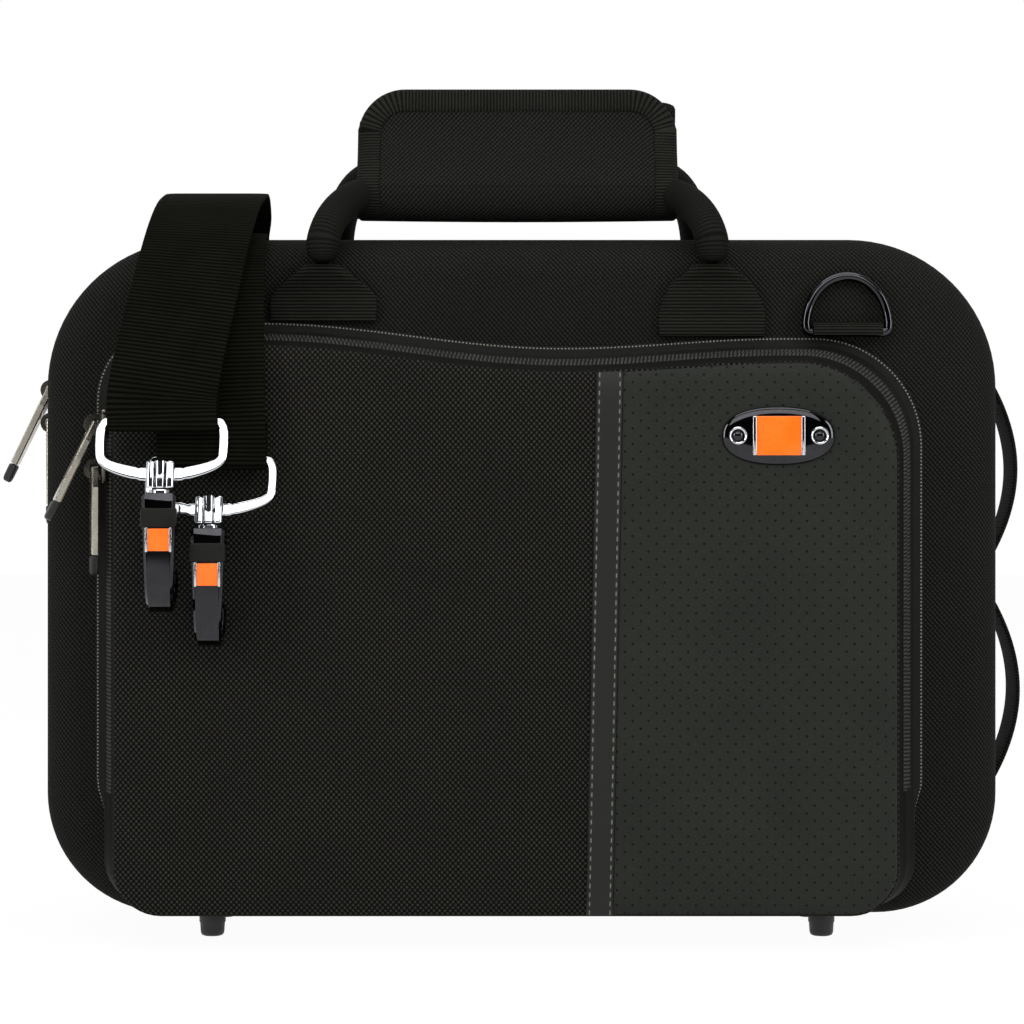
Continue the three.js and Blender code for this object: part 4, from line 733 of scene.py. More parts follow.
def perforated(name, dark, pale, pitch, hole, **shader_values):
    """Leather grain from a cell pattern, with pinholes on a staggered lattice: the nearer of two lattices
    of distances sqrt(a^2 + b^2), where a and b swing from 0 at a hole to half a pitch between two."""
    material, shader = finish_of(name, dark, **shader_values)
    place = add_node(material, "TexCoord").outputs["UV"]
    axes = add_node(material, "SeparateXYZ", [place]).outputs
    near = [add_node(material, "Math", [axes[k], pitch[k] / 2], operation="PINGPONG") for k in (0, 1)]
    far = [add_node(material, "Math", [pitch[k] / 2, near[k]], operation="SUBTRACT") for k in (0, 1)]
    reach = []
    for pair in (near, far):
        arrow = add_node(material, "CombineXYZ", pair)
        reach.append(add_node(material, "VectorMath", [arrow], operation="LENGTH").outputs["Value"])
    nearest = add_node(material, "Math", reach, operation="MINIMUM")
    solid = add_node(material, "MapRange", {"Value": nearest, "From Min": hole * 0.55, "From Max": hole})
    cells = add_node(material, "TexVoronoi", {"Vector": place, "Scale": 1.1})
    broad = add_node(material, "TexNoise", {"Vector": place, "Scale": 0.03, "Detail": 3.0})
    even = add_node(material, "Math", [broad, 0.45, 0.5], operation="MULTIPLY_ADD")
    worn = add_node(material, "Math", [cells, 0.25, even], operation="MULTIPLY_ADD")
    tone = add_node(material, "Math", [worn, solid], operation="MULTIPLY")
    height = add_node(material, "Math", [cells, 0.12, solid], operation="MULTIPLY_ADD")
    return paint(material, shader, tone, dark, pale, height, 0.5)


def corner_reach(x, radius):
    """How far a round corner of the leatherette reaches from its centre at x, up or down."""
    over = np.maximum(x - front_right + radius, 0)
    return np.sqrt(np.maximum((radius - leather_inset) ** 2 - over ** 2, 0))


leatherette = perforated("perforated_leatherette", "#050605", "#20221e", (5.55, 5.4), 0.45,
                         Roughness=0.55, Specular_IOR_Level=0.08)
left_edge, right_edge = trim_low + trim_width - 0.4, front_right - leather_inset
s = (1 - np.cos(math.pi * np.linspace(0, 1, 60))) / 2
base_x = left_edge + (right_edge - left_edge) * s
top_centre = float(pocket_top(front_right - round_right)) - lean_top - round_right
high = np.where(base_x < front_right - round_right, pocket_top(base_x) - lean_top - leather_inset,
                top_centre + corner_reach(base_x, round_right))
low = pocket_low + round_low - corner_reach(base_x, round_low)
t = np.linspace(0, 1, 90)[:, None]
z = low + (high - low) * t
x = base_x + slant(z) * (1 - s)
rim = np.minimum(np.minimum(t, 1 - t) * (high - low), np.minimum(s, 1 - s) * (right_edge - left_edge))
height = 0.75 * np.sqrt(np.clip(rim / 0.8, 0, 1))
leather = slab_piece("leatherette_panel", x, z, height, np.stack([x, z], -1), leatherette)
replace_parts(leather, "pocket_panel_leatherette")

trim_finish = dashed("smooth_vinyl_strip", "#131412", "#55584f", (1.2, trim_width - 1.2), 3.2, 0.5,
                     Roughness=0.5, Specular_IOR_Level=0.2)
across = np.array([0, 0.05, 0.25, 0.6, 1, 1.5, 2.5, 4.8, 7.1, 8.1, 8.6, 9, 9.35, 9.55, 9.6])
base_x = trim_low + across
low, high = pocket_low + trim_inset, pocket_top(base_x) - lean_top - trim_inset
z = low + (high - low) * np.linspace(0, 1, 120)[:, None]
x = base_x + slant(z)
height = 1.25 * np.sqrt(np.clip(np.minimum(across, trim_width - across) / 0.9, 0, 1)) + np.zeros_like(z)
uv = np.stack(np.broadcast_arrays(z, across), -1)
trim = slab_piece("trim_strip", x, z, height, uv, trim_finish)
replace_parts(trim, "pocket_trim_strip")


# Badge: a die-cast plate in glossy black chrome with a bare orange enamel field between two bright bars,
# held by two rivets with bright rims and dark middles.
def refined(node, name, body, material, bevel=0.35, corner=30):
    """A copy of a hard CAD solid with its edges rounded by a bevel of this size in mm."""
    piece = joined_copy(node, name)
    piece.data.materials.append(material)
    piece.data.shade_smooth()
    piece.data.set_sharp_from_angle(angle=math.radians(corner))
    rounded = piece.modifiers.new("rounded edges", "BEVEL")
    rounded.width, rounded.segments = bevel / 1000, 3
    rounded.limit_method, rounded.angle_limit = "ANGLE", math.radians(corner)
    rounded.use_clamp_overlap = True
    piece.modifiers.new("even shading", "WEIGHTED_NORMAL").keep_sharp = True
    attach(piece, body)
    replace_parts(piece, node)
    return piece


black_chrome = speckled("black_chrome_plate", "#313133", "#505054", 0.8, 0.002, 0.05, Metallic=1.0)
chrome = speckled("bright_chrome_plate", "#c9ccd0", "#eceef0", 0.8, 0.002, 0.06, Metallic=1.0)
enamel = speckled("orange_enamel", "#f25c05", "#ff7a1c", 1.5, 0.02, 0.2, Coat_Weight=0.6, Coat_Roughness=0.08)
badge_x, badge_z = pocket_right - 51.9, top_right - 33.5
badge_half_width, badge_half_height, badge_rise = 19.8, 10.2, 1.9
badge_foot = panel_face - seat
badge_face = badge_foot - 2.4
# The plate is domed: at a share k of the way out its height is rise * sqrt(1 - k^6).
angle = np.linspace(0, 2 * math.pi, 80, endpoint=False)
rim = [np.sign(f) * np.abs(f) ** 0.88 * half
       for f, half in ((np.cos(angle), badge_half_width), (np.sin(angle), badge_half_height))]
rows = []
for k in (0, 0.3, 0.5, 0.65, 0.75, 0.82, 0.88, 0.92, 0.95, 0.975, 0.99, 1):
    height = badge_rise * math.sqrt(1 - k ** 6)
    rows.append(np.stack([badge_x + rim[0] * k, np.full(80, badge_foot - height), badge_z + rim[1] * k], 1))
rows.append(rows[0] * (1, 0, 1) + (0, badge_foot, 0))
rows = np.stack(rows)
plate = grid_piece("badge_plate_cast", rows, closed_uv(rows[..., [0, 2]]), black_chrome, "pocket_cover",
                   around=True, crease=60)
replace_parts(plate, "badge_plate")
inlay = refined("badge_inlay", "badge_field", "pocket_cover", enamel, 0.3)


def rounded_block(name, centre, size, radius, material, body):
    """A block with round edges: rings of a rounded rectangle whose inset follows a quarter circle."""
    half = np.asarray(size, float) / 2
    wide, tall = half[0] - radius, half[2] - radius
    corners = [(wide, tall, radius, 0, 90), (-wide, tall, radius, 90, 180),
               (-wide, -tall, radius, 180, 270), (wide, -tall, radius, 270, 360)]
    line = outline_columns(corners, 5, 3, closed=True)
    steps = [(inset, half[1] - lost) for inset, lost in rounding(radius * 0.9, 4)]
    rows = [ring(line, inset, -y) for inset, y in steps] + [ring(line, inset, y) for inset, y in steps[::-1]]
    rows = [rows[0] * (0, 1, 0), *rows, rows[-1] * (0, 1, 0)]
    grid = np.stack(rows) + np.asarray(centre, float)
    return grid_piece(name, grid, closed_uv(grid[..., [0, 2]]), material, body, around=True, crease=50)


rim_profile = [(2.1, -1.1), (3.2, -1.1), (3.2, -0.1), (3.05, 0.2), (2.8, 0.35), (2.5, 0.2), (2.1, -0.3),
               (2.1, -1.1)]
head_profile = [(0, -1.1), (1.9, -1.1), (1.9, -0.4), (1.6, -0.1), (0.9, 0.2), (0, 0.3)]
for side, end in ((-1, "left"), (1, "right")):
    bar = rounded_block(f"badge_bar_{end}", (badge_x + side * 8.5, badge_face + 0.3, badge_z),
                        (1.4, 1.2, 13.8), 0.4, chrome, "pocket_cover")
    place = (badge_x + side * 14.3, badge_face - half_seat, badge_z)
    rim_piece = turned_piece(f"rivet_rim_{end}", rim_profile, place, chrome, "pocket_cover", axis="y")
    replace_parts(rim_piece, f"badge_rivet_{end}")
    head = turned_piece(f"rivet_head_{end}", head_profile, place, black_chrome, "pocket_cover", axis="y")


# D-rings: steel wire bent to a D and plated glossy black, each held on the lid by a tab of ribbed webbing
# that is folded over its straight bar.
def smooth_path(points, steps=6, closed=False):
    """Catmull-Rom curve through the points: each stretch is a cubic whose slope at a point is half the step
    between its neighbours."""
    p = np.asarray(points, float)
    if closed:
        p = np.vstack([p[-1:], p, p[:2]])
    else:
        p = np.vstack([2 * p[:1] - p[1:2], p, 2 * p[-1:] - p[-2:-1]])
    a, b, c, d = (p[k:len(p) - 3 + k, None] for k in range(4))
    t = (np.arange(steps) / steps)[None, :, None]
    square, cube = 2 * a - 5 * b + 4 * c - d, 3 * b - a - 3 * c + d
    curve = (2 * b + (c - a) * t + square * t ** 2 + cube * t ** 3) / 2
    curve = curve.reshape(-1, p.shape[1])
    return curve if closed else np.vstack([curve, p[-2:-1]])


def carried(path, sections, across, closed=False):
    """Rings [station, point, xyz]: at each point of the path a section of (a, b), with b along the part of
    the across direction that is square to the path, and a square to both."""
    path = np.asarray(path, float)
    if closed:
        along = np.roll(path, -1, 0) - np.roll(path, 1, 0)
    else:
        along = np.gradient(path, axis=0)
    along /= np.linalg.norm(along, axis=1, keepdims=True)
    across = np.asarray(across, float)
    second = across - along * (along @ across)[:, None]
    second /= np.linalg.norm(second, axis=1, keepdims=True)
    first = np.cross(along, second)
    sections = np.broadcast_to(sections, (len(path), *np.shape(sections)[-2:]))
    return path[:, None] + first[:, None] * sections[..., :1] + second[:, None] * sections[..., 1:]


def oval(half_a, half_b, power=1.0, sides=24):
    """Section points (a, b): sign(cos) |cos|^power, so that a power under 1 squares the oval off."""
    angle = np.linspace(0, 2 * math.pi, sides, endpoint=False)
    a, b = (np.sign(f) * np.abs(f) ** power for f in (np.cos(angle), np.sin(angle)))
    return np.stack([a * half_a, b * half_b], -1)


def bar_piece(name, path, sections, across, material, body, closed=False, crease=50):
    """A solid bar or band along a path. Its pattern runs along the path in u and round it in v."""
    rings = carried(path, sections, across, closed)
    if closed:
        rings = np.concatenate([rings, rings[:1]])
    widest = rings[len(rings) // 2]
    uv = crossed(lengths_along(rings[:, 0]), lengths_along([*widest, widest[0]]))
    return grid_piece(name, rings, uv, material, body, around=True, ends=not closed, crease=crease)


handle_webbing = barred("ribbed_nylon_webbing", "#050504", "#1e1e1a", 1.2, 0.25,
                        Roughness=0.8, Specular_IOR_Level=0.05)
ring_wire, ring_half, ring_height, tab_width, webbing_thickness = 1.7, 14.8, 20.1, 25, 1.6
ring_y = -(lid_depth + seat + webbing_thickness + seat + ring_wire)
for side, end in ((-1, "left"), (1, "right")):
    ring_x = side * (case_side - 56)
    edges = pocket_top(np.array([ring_x - tab_width / 2, ring_x + tab_width / 2]))
    bottom = float(edges.max()) + pocket_flange + seat
    bar_z = bottom + 1.1
    angle = np.radians(np.linspace(0, 180, 25))
    bow = np.stack([ring_half * np.cos(angle), 2.5 + (ring_height - 2.5) * np.sin(angle)], 1)
    outline = np.vstack([[[ring_half - 1.2, 0.1]], bow, [[1.2 - ring_half, 0.1]], [[-7, 0]], [[7, 0]]])
    lean = math.tan(math.radians(4))
    path = np.stack([ring_x + outline[:, 0], ring_y + outline[:, 1] * lean, bar_z + outline[:, 1]], 1)
    wire = bar_piece(f"d_ring_wire_{end}", smooth_path(path, 3, True), oval(ring_wire, ring_wire, sides=16),
                     (0, 1, 0), black_chrome, f"d_ring_{end}", closed=True)
    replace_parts(wire, f"d_ring_{end}")
    fold = ring_wire + seat + webbing_thickness / 2
    turn = np.radians(np.linspace(0, 180, 13))
    over = np.stack([ring_y + fold * np.cos(turn), bar_z + fold * np.sin(turn)], 1)
    legs = np.vstack([[[ring_y + fold, bottom]], over, [[ring_y - fold, bottom]]])
    path = np.insert(legs, 0, ring_x, axis=1)
    tab = bar_piece(f"ring_tab_{end}", path, oval(webbing_thickness / 2, tab_width / 2, 0.35, 28), (1, 0, 0),
                    handle_webbing, "lid")
    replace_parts(tab, f"d_ring_tab_{end}")


# Shoulder strap: one length of dense ribbed polypropylene webbing, folded round both frames and sewn.
# It lies over the top in an arch and a flat run, and its slack hangs in a loop behind the base.
strap_webbing = barred("ribbed_polypropylene_webbing", "#020201", "#10110b", 1.5, 0.28,
                       Roughness=0.85, Specular_IOR_Level=0.02)
strap_width, strap_thickness, frame_height, frame_bar = 38, 1.5, 24, 1.6
strap_floor = case_top + seat + strap_thickness / 2
strap_inner = base_depth + seat + strap_thickness / 2
wrap_radius = frame_bar + seat + strap_thickness / 2
strap_back = 56.6 - case_side
loop_low = case_top - 151.7
hooks = {"hook_one": (48.7 - case_side, panel_face - 19.9, case_top - 91.4, 15.5),
         "hook_two": (64.8 - case_side, panel_face - 14.3, case_top - 103.4, 24)}


def wrap_round(name):
    """Up the tail behind the frame's far bar, then half a turn under and round it to the front."""
    x, y, z, tilt = hooks[name]
    y, z = y + frame_height * math.sin(math.radians(tilt)), z + frame_height * math.cos(math.radians(tilt))
    turn = np.radians(np.linspace(0, -180, 9))
    bend = np.stack([np.full(9, x), y + wrap_radius * np.cos(turn), z + wrap_radius * np.sin(turn)], 1)
    return np.vstack([[[x, y + wrap_radius - 0.6, z + 14]], [[x, y + wrap_radius, z + 3]], bend]), x, y, z


# Points on the strap's middle line: the arch from hook one over the top, the slack that hangs behind the
# base and comes up again round its edge, and the flat run over the top to hook two.
first, x, y, z = wrap_round("hook_one")
arch = [(x, y - wrap_radius + 0.6, z + 9), (x + 1.9, -74.9, case_top - 46.3),
        (x + 4.2, -67.8, case_top - 32.3), (x + 6.3, -60.3, case_top - 19.3),
        (x + 8, -51, case_top - 7.3), (x + 9.4, -39, case_top + 3.7),
        (x + 10.6, -25, case_top + 12.3), (60.2 - case_side, -9.5, case_top + 17.1),
        (59.8 - case_side, 4, case_top + 18.6), (59.2 - case_side, 17, case_top + 17.1),
        (58.4 - case_side, 29, case_top + 12.9), (strap_back, 40.4, case_top + 6.9)]
hanging = [(49.8, case_top - 0.6), (54.2, case_top - 12.2), (54.6, case_top - 23.7), (54.4, case_top - 38.7),
           (54.4, case_top - 66), (54.4, loop_low + 58), (55.6, loop_low + 26), (58.4, loop_low + 8),
           (59.4, loop_low - 2), (57.8, loop_low - 9.5), (54.6, loop_low - 11.4), (52, loop_low - 8),
           (strap_inner, loop_low), (strap_inner, loop_low + 40), (strap_inner, loop_low + 90),
           (strap_inner, case_top - edge_radius)]
bend = strap_inner - base_depth + edge_radius
bend_y, bend_z = base_depth - edge_radius, case_top - edge_radius
hanging += [(bend_y + bend * math.cos(a), bend_z + bend * math.sin(a))
            for a in np.radians([15, 30, 45, 60, 75, 90])]
second, x, y, z = wrap_round("hook_two")
flat = [(x, y - wrap_radius + 0.3, z + 12), (x - 0.6, -67.5, case_top - 55.7),
        (x - 1, -64.6, case_top - 43.7), (x - 1.4, -60.2, case_top - 31.7),
        (x - 1.8, -54.2, case_top - 20.7), (x - 2.2, -46.5, case_top - 10.7),
        (x - 2.6, -37, case_top - 2.9), (x - 3, -28, strap_floor - 0.2),
        (x - 3.3, -20, strap_floor), (x - 4.6, 0, strap_floor), (strap_back, 26, strap_floor)]
path = np.vstack([first, arch, [(strap_back, *point) for point in hanging], flat[::-1], second[::-1]])
strap = bar_piece("shoulder_strap", smooth_path(path, 5), oval(strap_thickness / 2, strap_width / 2, 0.3, 32),
                  (1, 0, 0), strap_webbing, "strap")
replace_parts(strap, "strap_run_one", "strap_run_two", "strap_back_loop")


# Strap frames and swivel hooks: die-cast zinc. The frame is bright chrome, a flat bow that thickens to a
# ribbed hub in which the hook's post turns. The hook is glossy black chrome with a matt black block, a
# sprung gate and an enamelled label between two bright edges.
frame_arm = 39.4 / 2 + frame_bar
# Half of the bow as (x, height, size), from the hub out and up to the bar inside the strap's fold.
frame_half = [(3.6, 4.8, 2.6), (8, 5.2, 2.4), (14, 6.7, 2.1), (frame_arm - 2.6, 8.6, 1.8),
              (frame_arm - 0.5, 10.8, 1.65), (frame_arm, 14, 1.6), (frame_arm, 20, 1.6),
              (frame_arm - 0.8, 22.8, 1.55), (frame_arm - 3, 24, 1.5), (6, 24, 1.5)]
groove_at, groove_width, groove_depth = 8.4, 0.45, 0.3
collar_profile = [(2.0, 0), (3.7, 0), (3.9, 0.25), (3.9, 1.05), (3.6, 1.35), (2.0, 1.35), (2.0, 0)]
matt_cast = speckled("matt_black_cast_zinc", "#0b0b09", "#1d1d18", 0.4, 0.05, 0.5, Specular_IOR_Level=0.15)


def hub_rows(height, slope):
    """A squared oval, |x / 5|^5 + |y / 3.5|^5 = 1, that leans back with the frame by a slope, with two
    notches 1 mm deep down its front. A round bore runs straight up through it, and its rims are rounded."""
    half_x, half_y, bore, notch_at, notch_width = 5.0, 3.5, 2.1, 1.75, 0.4
    angle = np.linspace(0, 2 * math.pi, 96, endpoint=False)
    c, s = np.cos(angle), np.sin(angle)
    reach = ((np.abs(c) / half_x) ** 5 + (np.abs(s) / half_y) ** 5) ** -0.2
    x, y = reach * c, reach * s
    y = y + np.exp(-((np.abs(x) - notch_at) / notch_width) ** 2) * (s < 0)
    outer = [(0.93, seat), (0.98, seat + 0.3), (1, seat + 0.8), (1, height - 0.8), (0.98, height - 0.3),
             (0.93, height)]
    rows = [np.stack([x * k, y * k + (z - height * 0.3) * slope, np.full(96, z)], 1) for k, z in outer]
    rows += [np.stack([bore * c, bore * s - 1, np.full(96, z)], 1) for z in (height, seat)]
    return np.stack([*rows, rows[0]]) + (0, 1, 0)


for name, (x, y, z, tilt) in hooks.items():
    a = math.radians(tilt)
    line = np.array([*frame_half, *[(-px, pz, r) for px, pz, r in frame_half[::-1]]])
    line = smooth_path(line, 5)
    path = np.stack([line[:, 0] + x, line[:, 1] * math.sin(a) + y, line[:, 1] * math.cos(a) + z], 1)
    groove = 1 - groove_depth * np.exp(-((np.abs(line[:, 0]) - groove_at) / groove_width) ** 2)
    sections = oval(0.94, 0.55, 0.35, 36)[None] * (line[:, 2] * groove)[:, None, None]
    facing = (0, math.cos(a), -math.sin(a))
    bow = bar_piece(f"{name}_bow", path, sections, facing, chrome, "strap", crease=60)
    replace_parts(bow, f"{name}_frame")
    rows = hub_rows(9.6, math.tan(a) * 0.8) + (x, y, z)
    uv = closed_uv(rows[..., [0, 2]])
    hub = grid_piece(f"{name}_hub", rows, uv, chrome, "strap", around=True, crease=60)
    cast = refined(f"{name}_body", f"{name}_cast", name, black_chrome, 0.6, 35)
    gate = refined(f"{name}_gate", f"{name}_lever", f"{name}_gate", black_chrome, 0.35)
    collar = turned_piece(f"{name}_collar", collar_profile, (x, y, z - 1.65), chrome, name)
    block = rounded_block(f"{name}_block", (x, y - 5.2, z - 9.9), (12.4, 3.0, 6.6), 0.8, matt_cast, name)
    field = refined(f"{name}_label", f"{name}_field", name, enamel, 0.12)
    for side, end in ((-1, "left"), (1, "right")):
        place = (x + side * 4.1, y - 6.3, z - 17.5)
        edge = rounded_block(f"{name}_field_edge_{end}", place, (0.9, 0.7, 8.4), 0.25, chrome, name)


# Side handle: one strip of webbing sewn down above, between and below two finger loops that bow out.
def wall_x(z):
    """Distance of the side wall from the middle: the corner's circle below, straight above."""
    drop = np.maximum(low_z - z, 0)
    return low_x + np.sqrt(bottom_radius ** 2 - drop ** 2)


loops = [(case_bottom + case_height * 0.5124, case_bottom + case_height * 0.8098, 12.4),
         (case_bottom + case_height * 0.1662, case_bottom + case_height * 0.4798, 13.3)]
sewn, sewn_length, side_webbing_width, side_handle_y = seat + webbing_thickness / 2, 9, 25, 25
upper_end, lower_end = loops[0][1] + sewn_length, loops[1][0] - sewn_length
line = [(wall_x(upper_end) + sewn, upper_end)]
for low, high, rise in loops:
    share = np.linspace(0, 1, 31)
    z = high + (low - high) * share
    line += list(zip(wall_x(z) + sewn + rise * np.sin(math.pi * share) ** 0.8, z))
line += [(wall_x(lower_end) + sewn, lower_end)]
path = [(px, side_handle_y, pz) for px, pz in line]
section = oval(webbing_thickness / 2, side_webbing_width / 2, 0.35, 28)
side_handle = bar_piece("side_finger_loops", path, section, (0, 1, 0), handle_webbing, "base")
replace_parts(side_handle, "side_handle")


# Carrying handle: two loops of cord covered in woven tube, each coming out of two webbing tabs that are
# flat where they are sewn to the shell and gathered round the cord above.
tube_radius, handle_x, anchor_x = 6, -1.5, case_side - 103.1
pivot_z, pivot_out, tube_offset = case_top - 4.7, 4.8, 9.2
front_tube_z, rear_tube_z = case_top + 18.3, case_top + 27.3
anchor_half, rear_anchor_drop = 19, 34
cord_cover = barred("woven_cord_cover", "#090908", "#171714", 1.1, 0.06,
                    Roughness=0.85, Specular_IOR_Level=0.04)


def handle_tube(side, face, tube_z, bow):
    """Path and radii of a cord: up out of the right tab on a cubic Bezier curve, straight through the grip
    and down into the left tab. The sewn ends inside the tabs are thinner."""
    out, climb = face + pivot_out, tube_z - pivot_z
    knots = np.array([(anchor_x, out, pivot_z + 2), (anchor_x + bow, out - 2.8, pivot_z + climb * 0.6),
                      (anchor_x - 7 + bow, tube_offset + 6, tube_z), (anchor_x - 18.9, tube_offset, tube_z)])
    t = np.linspace(0, 1, 22)[:, None]
    leg = ((1 - t) ** 3 * knots[0] + 3 * (1 - t) ** 2 * t * knots[1] + 3 * (1 - t) * t ** 2 * knots[2]
           + t ** 3 * knots[3])
    stub = np.array([(anchor_x, out, pivot_z - drop) for drop in (5.6, 3.6, 1)])
    leg = np.vstack([stub, leg]) * (1, side, 1)
    radii = np.concatenate([[1.8, 4.8, 5.8], np.full(22, float(tube_radius))])
    middle = np.linspace(leg[-1], leg[-1] * (-1, 1, 1), 12)[1:-1]
    path = np.vstack([leg, middle, leg[::-1] * (-1, 1, 1)]) + (handle_x, 0, 0)
    return path, np.concatenate([radii, np.full(10, float(tube_radius)), radii[::-1]])


def anchor_rows(x, side, face, bottom):
    """Squared ovals from the flat sewn end to the round throat, blended smoothly between stations."""
    flat, top, out = face + seat + 1.2, pivot_z - tube_radius - seat, face + pivot_out
    stations = [(bottom, anchor_half, 1.2, flat, 0.3), (bottom + 8.4, anchor_half, 1.2, flat, 0.3),
                (top - 7, 15.2, 1.9, flat + 1, 0.45), (top - 3, 10.2, 3.7, out - 0.9, 0.7),
                (top, 6.9, 5.1, out, 0.95)]
    rows = []
    for z, half, thick, y, power in smooth_path(stations, 7):
        section = oval(half, thick, max(power, 0.25), 40)
        rows.append(np.stack([x + section[:, 0], side * (y + section[:, 1]), np.full(40, z)], 1))
    return np.stack(rows)


handles = {"front": (-1, lid_depth, front_tube_z, -2, "lid", "front_handle"),
           "rear": (1, base_depth, rear_tube_z, 1, "base", "rear_handle")}
for name, (side, face, tube_z, bow, home, body) in handles.items():
    path, radii = handle_tube(side, face, tube_z, bow)
    sections = oval(1, 1)[None] * radii[:, None, None]
    cord = bar_piece(f"{name}_handle_cord", path, sections, (0, 1, 0), cord_cover, body)
    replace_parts(cord, f"{name}_handle_loop")
    for x, end in ((handle_x - anchor_x, "left"), (handle_x + anchor_x, "right")):
        bottom = pivot_z - rear_anchor_drop
        if name == "front":
            edges = pocket_top(np.array([x - anchor_half, x + anchor_half]))
            bottom = float(edges.max()) + pocket_flange + seat
        rows = anchor_rows(x, side, face, bottom)
        uv = crossed(rows[:, 0, 2], np.arange(41.0))
        tab = grid_piece(f"{name}_handle_tab_{end}", rows, uv, handle_webbing, home, around=True, ends=True)
        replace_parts(tab, f"{name}_handle_anchor_{end}")


# Grip: two padded halves of twill over foam, each sewn round its cord and thinning to a flap. Ribbed tape
# binds the edges of the flaps, and hook-and-loop strips hold the halves together.
grip_half, closure, closure_height = anchor_x - 11.4, 1.1, 20
meeting = seat + closure + half_seat
flap_corner, flap_slant = 17, 5.6


def grip_section(tube_z, bulb, flap):
    """Outline (y, z) of a half, from the top of its flat inner face over the flap and round the cord."""
    top = tube_z + flap
    turn = np.radians(np.linspace(18, -118, 13))
    points = np.vstack([
        [(meeting, tube_z + flap * 0.3), (meeting, top - 3), (meeting + 0.5, top - 0.8), (meeting + 2, top),
         (meeting + 4.2, top - 0.4), (meeting + 5.7, top - 2.6), (meeting + 8.4, top - flap * 0.4),
         (meeting + 12.6, tube_z + flap * 0.35)],
        np.stack([tube_offset + bulb * np.cos(turn), tube_z + bulb * np.sin(turn)], 1),
        [(meeting, tube_z - bulb * 0.55), (meeting, tube_z)]])
    return smooth_path(points, 4, True)


def section_normals(points):
    """Outward normals of a closed section: its tangent turned a quarter, away from the middle."""
    along = np.roll(points, -1, 0) - np.roll(points, 1, 0)
    normal = np.stack([along[:, 1], -along[:, 0]], 1) / np.linalg.norm(along, axis=1, keepdims=True)
    area = np.sum(points[:, 0] * np.roll(points[:, 1], -1) - points[:, 1] * np.roll(points[:, 0], -1))
    return normal * np.sign(area)


def grip_rows(section, side, tube_z, top, top_at):
    """Sections along the grip, 0.5 mm fuller in the middle. Above the cord they stretch to the flap's own
    top at that x. Over the last 1.4 mm at each end they shrink along their normals by a quarter circle."""
    reach = 1.4
    a = np.radians(np.linspace(0, 90, 7))
    margin, fall = reach * (1 - np.sin(a)), reach * (1 - np.cos(a)) * 0.8
    inner = np.linspace(-grip_half + reach, grip_half - reach, 44)[1:-1]
    x = np.concatenate([margin[::-1] - grip_half, inner, grip_half - margin])
    shrink = np.concatenate([fall[::-1], np.zeros(len(inner)), fall])
    plump = 0.5 * np.cos(x / grip_half * math.pi / 2)
    offset = section_normals(section)[None] * (plump - shrink)[:, None, None]
    offset[..., 0] = np.where(section[None, :, 0] < meeting + 0.2, 0, offset[..., 0])
    points = section[None] + offset
    share = (top_at(x) - tube_z) / (top - tube_z)
    rise = points[..., 1] - tube_z
    z = tube_z + np.where(rise > 0, rise * share[:, None], rise)
    return x, np.stack([np.broadcast_to(x[:, None], z.shape) + handle_x, side * points[..., 0], z], -1)


def round_top(top):
    """Top of the front flap at x: level, with round corners that end 3 mm above their centres."""
    def top_at(x):
        over = np.maximum(np.abs(x) - (grip_half - flap_corner), 0)
        return top - flap_corner + np.sqrt(np.maximum(flap_corner ** 2 - over ** 2, 3 ** 2))
    return top_at


def slanting_top(top):
    """Top of the rear flap at x: sewn askew, lower at its left end, with small corners 2 mm deep."""
    def top_at(x):
        return top - flap_slant * (grip_half - x) / (2 * grip_half) - 2 * (np.abs(x) / grip_half) ** 24
    return top_at


def binding_rows(side, section, tube_z, top, top_at, low_z_end):
    """Tape over the flap's edge: stations up one side, over the top and down the other. Each section, of
    (distance in from the edge, height over the face), starts 8 mm in, goes round the edge and comes back."""
    across = grip_half * np.sin(np.linspace(-math.pi / 2, math.pi / 2, 90))
    over = np.stack([across, top_at(across)], 1)
    up = np.stack([np.full(19, -grip_half), np.linspace(low_z_end, over[0, 1], 20)[:-1]], 1)
    down = np.stack([np.full(19, grip_half), np.linspace(over[-1, 1], low_z_end, 20)[1:]], 1)
    line = np.vstack([up, over, down])
    steps = lengths_along(line)
    even = np.linspace(0, steps[-1], 150)
    line = np.stack([np.interp(even, steps, line[:, k]) for k in (0, 1)], 1)
    along = np.gradient(line, axis=0)
    along /= np.linalg.norm(along, axis=1, keepdims=True)
    inward = np.stack([along[:, 1], -along[:, 0]], 1)
    face = section[section[:, 0] > meeting + 5.4]
    order = np.argsort(face[:, 1])
    rows = []
    for depth, lift in ((8.2, -0.6), (8, 0.5), (7.6, 0.9), (5, 1.0), (2.6, 1.0), (0.6, 0.6), (-0.5, -1.2),
                        (-0.5, -4.2), (0.6, -5.0), (0.8, -1.8), (3, -0.9)):
        at = line + inward * depth
        share = (top_at(np.clip(at[:, 0], -grip_half, grip_half)) - tube_z) / (top - tube_z)
        height = tube_z + np.where(at[:, 1] > tube_z, (at[:, 1] - tube_z) / share, at[:, 1] - tube_z)
        y = np.interp(height, face[order, 1], face[order, 0]) + lift
        rows.append(np.stack([at[:, 0] + handle_x, side * y, at[:, 1]], 1))
    return np.stack(rows, 1)


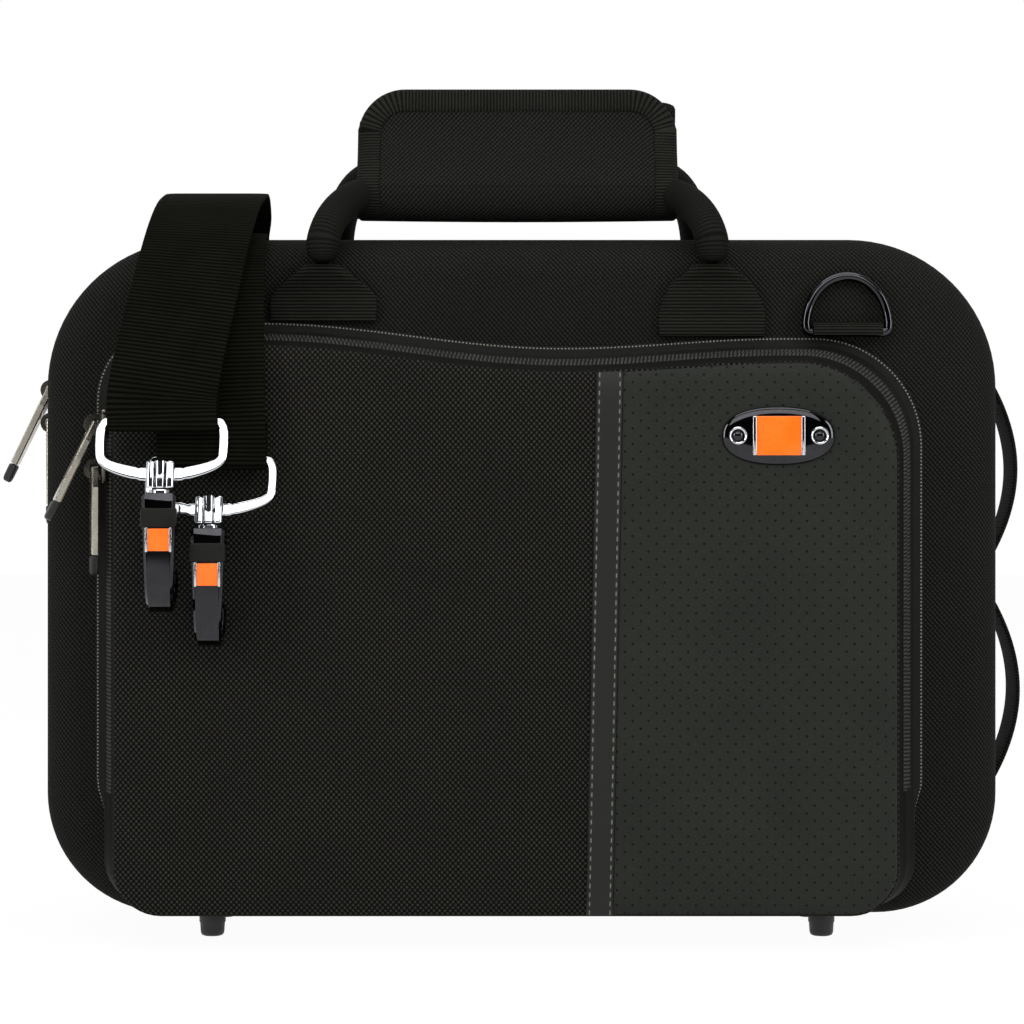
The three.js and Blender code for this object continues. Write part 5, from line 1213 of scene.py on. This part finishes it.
grips = {"front": (-1, front_tube_z, 10.2, 38.3, round_top, "front_handle"),
         "rear": (1, rear_tube_z, 9.3, 26.3, slanting_top, "rear_handle")}
for name, (side, tube_z, bulb, flap, shape, body) in grips.items():
    top = tube_z + flap
    section, top_at = grip_section(tube_z, bulb, flap), shape(top)
    x, rows = grip_rows(section, side, tube_z, top, top_at)
    uv = crossed(x, lengths_along([*section, section[0]]))
    grip = grid_piece(f"{name}_grip_pad", rows, uv, twill, body, around=True, ends=True, crease=60)
    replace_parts(grip, f"{name}_grip_half")
    rows = binding_rows(side, section, tube_z, top, top_at, tube_z - bulb * 0.93)
    uv = crossed(lengths_along(rows[:, 0]), np.arange(12.0))
    tape = grid_piece(f"{name}_grip_binding", rows, uv, handle_webbing, body, around=True, ends=True,
                      crease=60)

# Hook-and-loop strips sewn inside both flaps, one on each, as high as the rear flap's lower end lets them.
hook_tape = plush_pile("hook_and_loop_tape", "#111111", "#2c2c2c")
closure_top = grips["rear"][1] + grips["rear"][3] - flap_slant - 2
closure_size = (2 * grip_half - 21, closure, closure_height)
for side, node, body in ((-1, "grip_loop_strip", "front_handle"), (1, "grip_hook_strip", "rear_handle")):
    place = (handle_x, side * (half_seat + closure / 2), closure_top - closure_height / 2)
    strip = rounded_block(f"{node}_tape", place, closure_size, 0.5, hook_tape, body)
    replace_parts(strip, node)


# Sliders and pulls: die-cast zinc. The slider is dark nickel and the blade of the pull satin nickel, paler
# on its rubbed faces. A soft rubber tip is pushed on the end of each blade.
satin_nickel = speckled("satin_nickel_pull", "#b0aa9c", "#e0dbce", 1.2, 0.003, 0.22, Metallic=1.0)
dark_nickel = speckled("dark_nickel_slider", "#5b5850", "#a39e92", 1.2, 0.003, 0.22, Metallic=1.0)
for name in ("main_upper", "main_lower", "pocket_upper", "pocket_lower"):
    slider = refined(f"{name}_slider", f"{name}_slider_cast", f"{name}_slider", dark_nickel, 0.25)
    blade = refined(f"{name}_pull", f"{name}_pull_blade", f"{name}_pull", satin_nickel, 0.3)
    tip = refined(f"{name}_pull_tip", f"{name}_pull_cap", f"{name}_pull", rubber, 0.3)
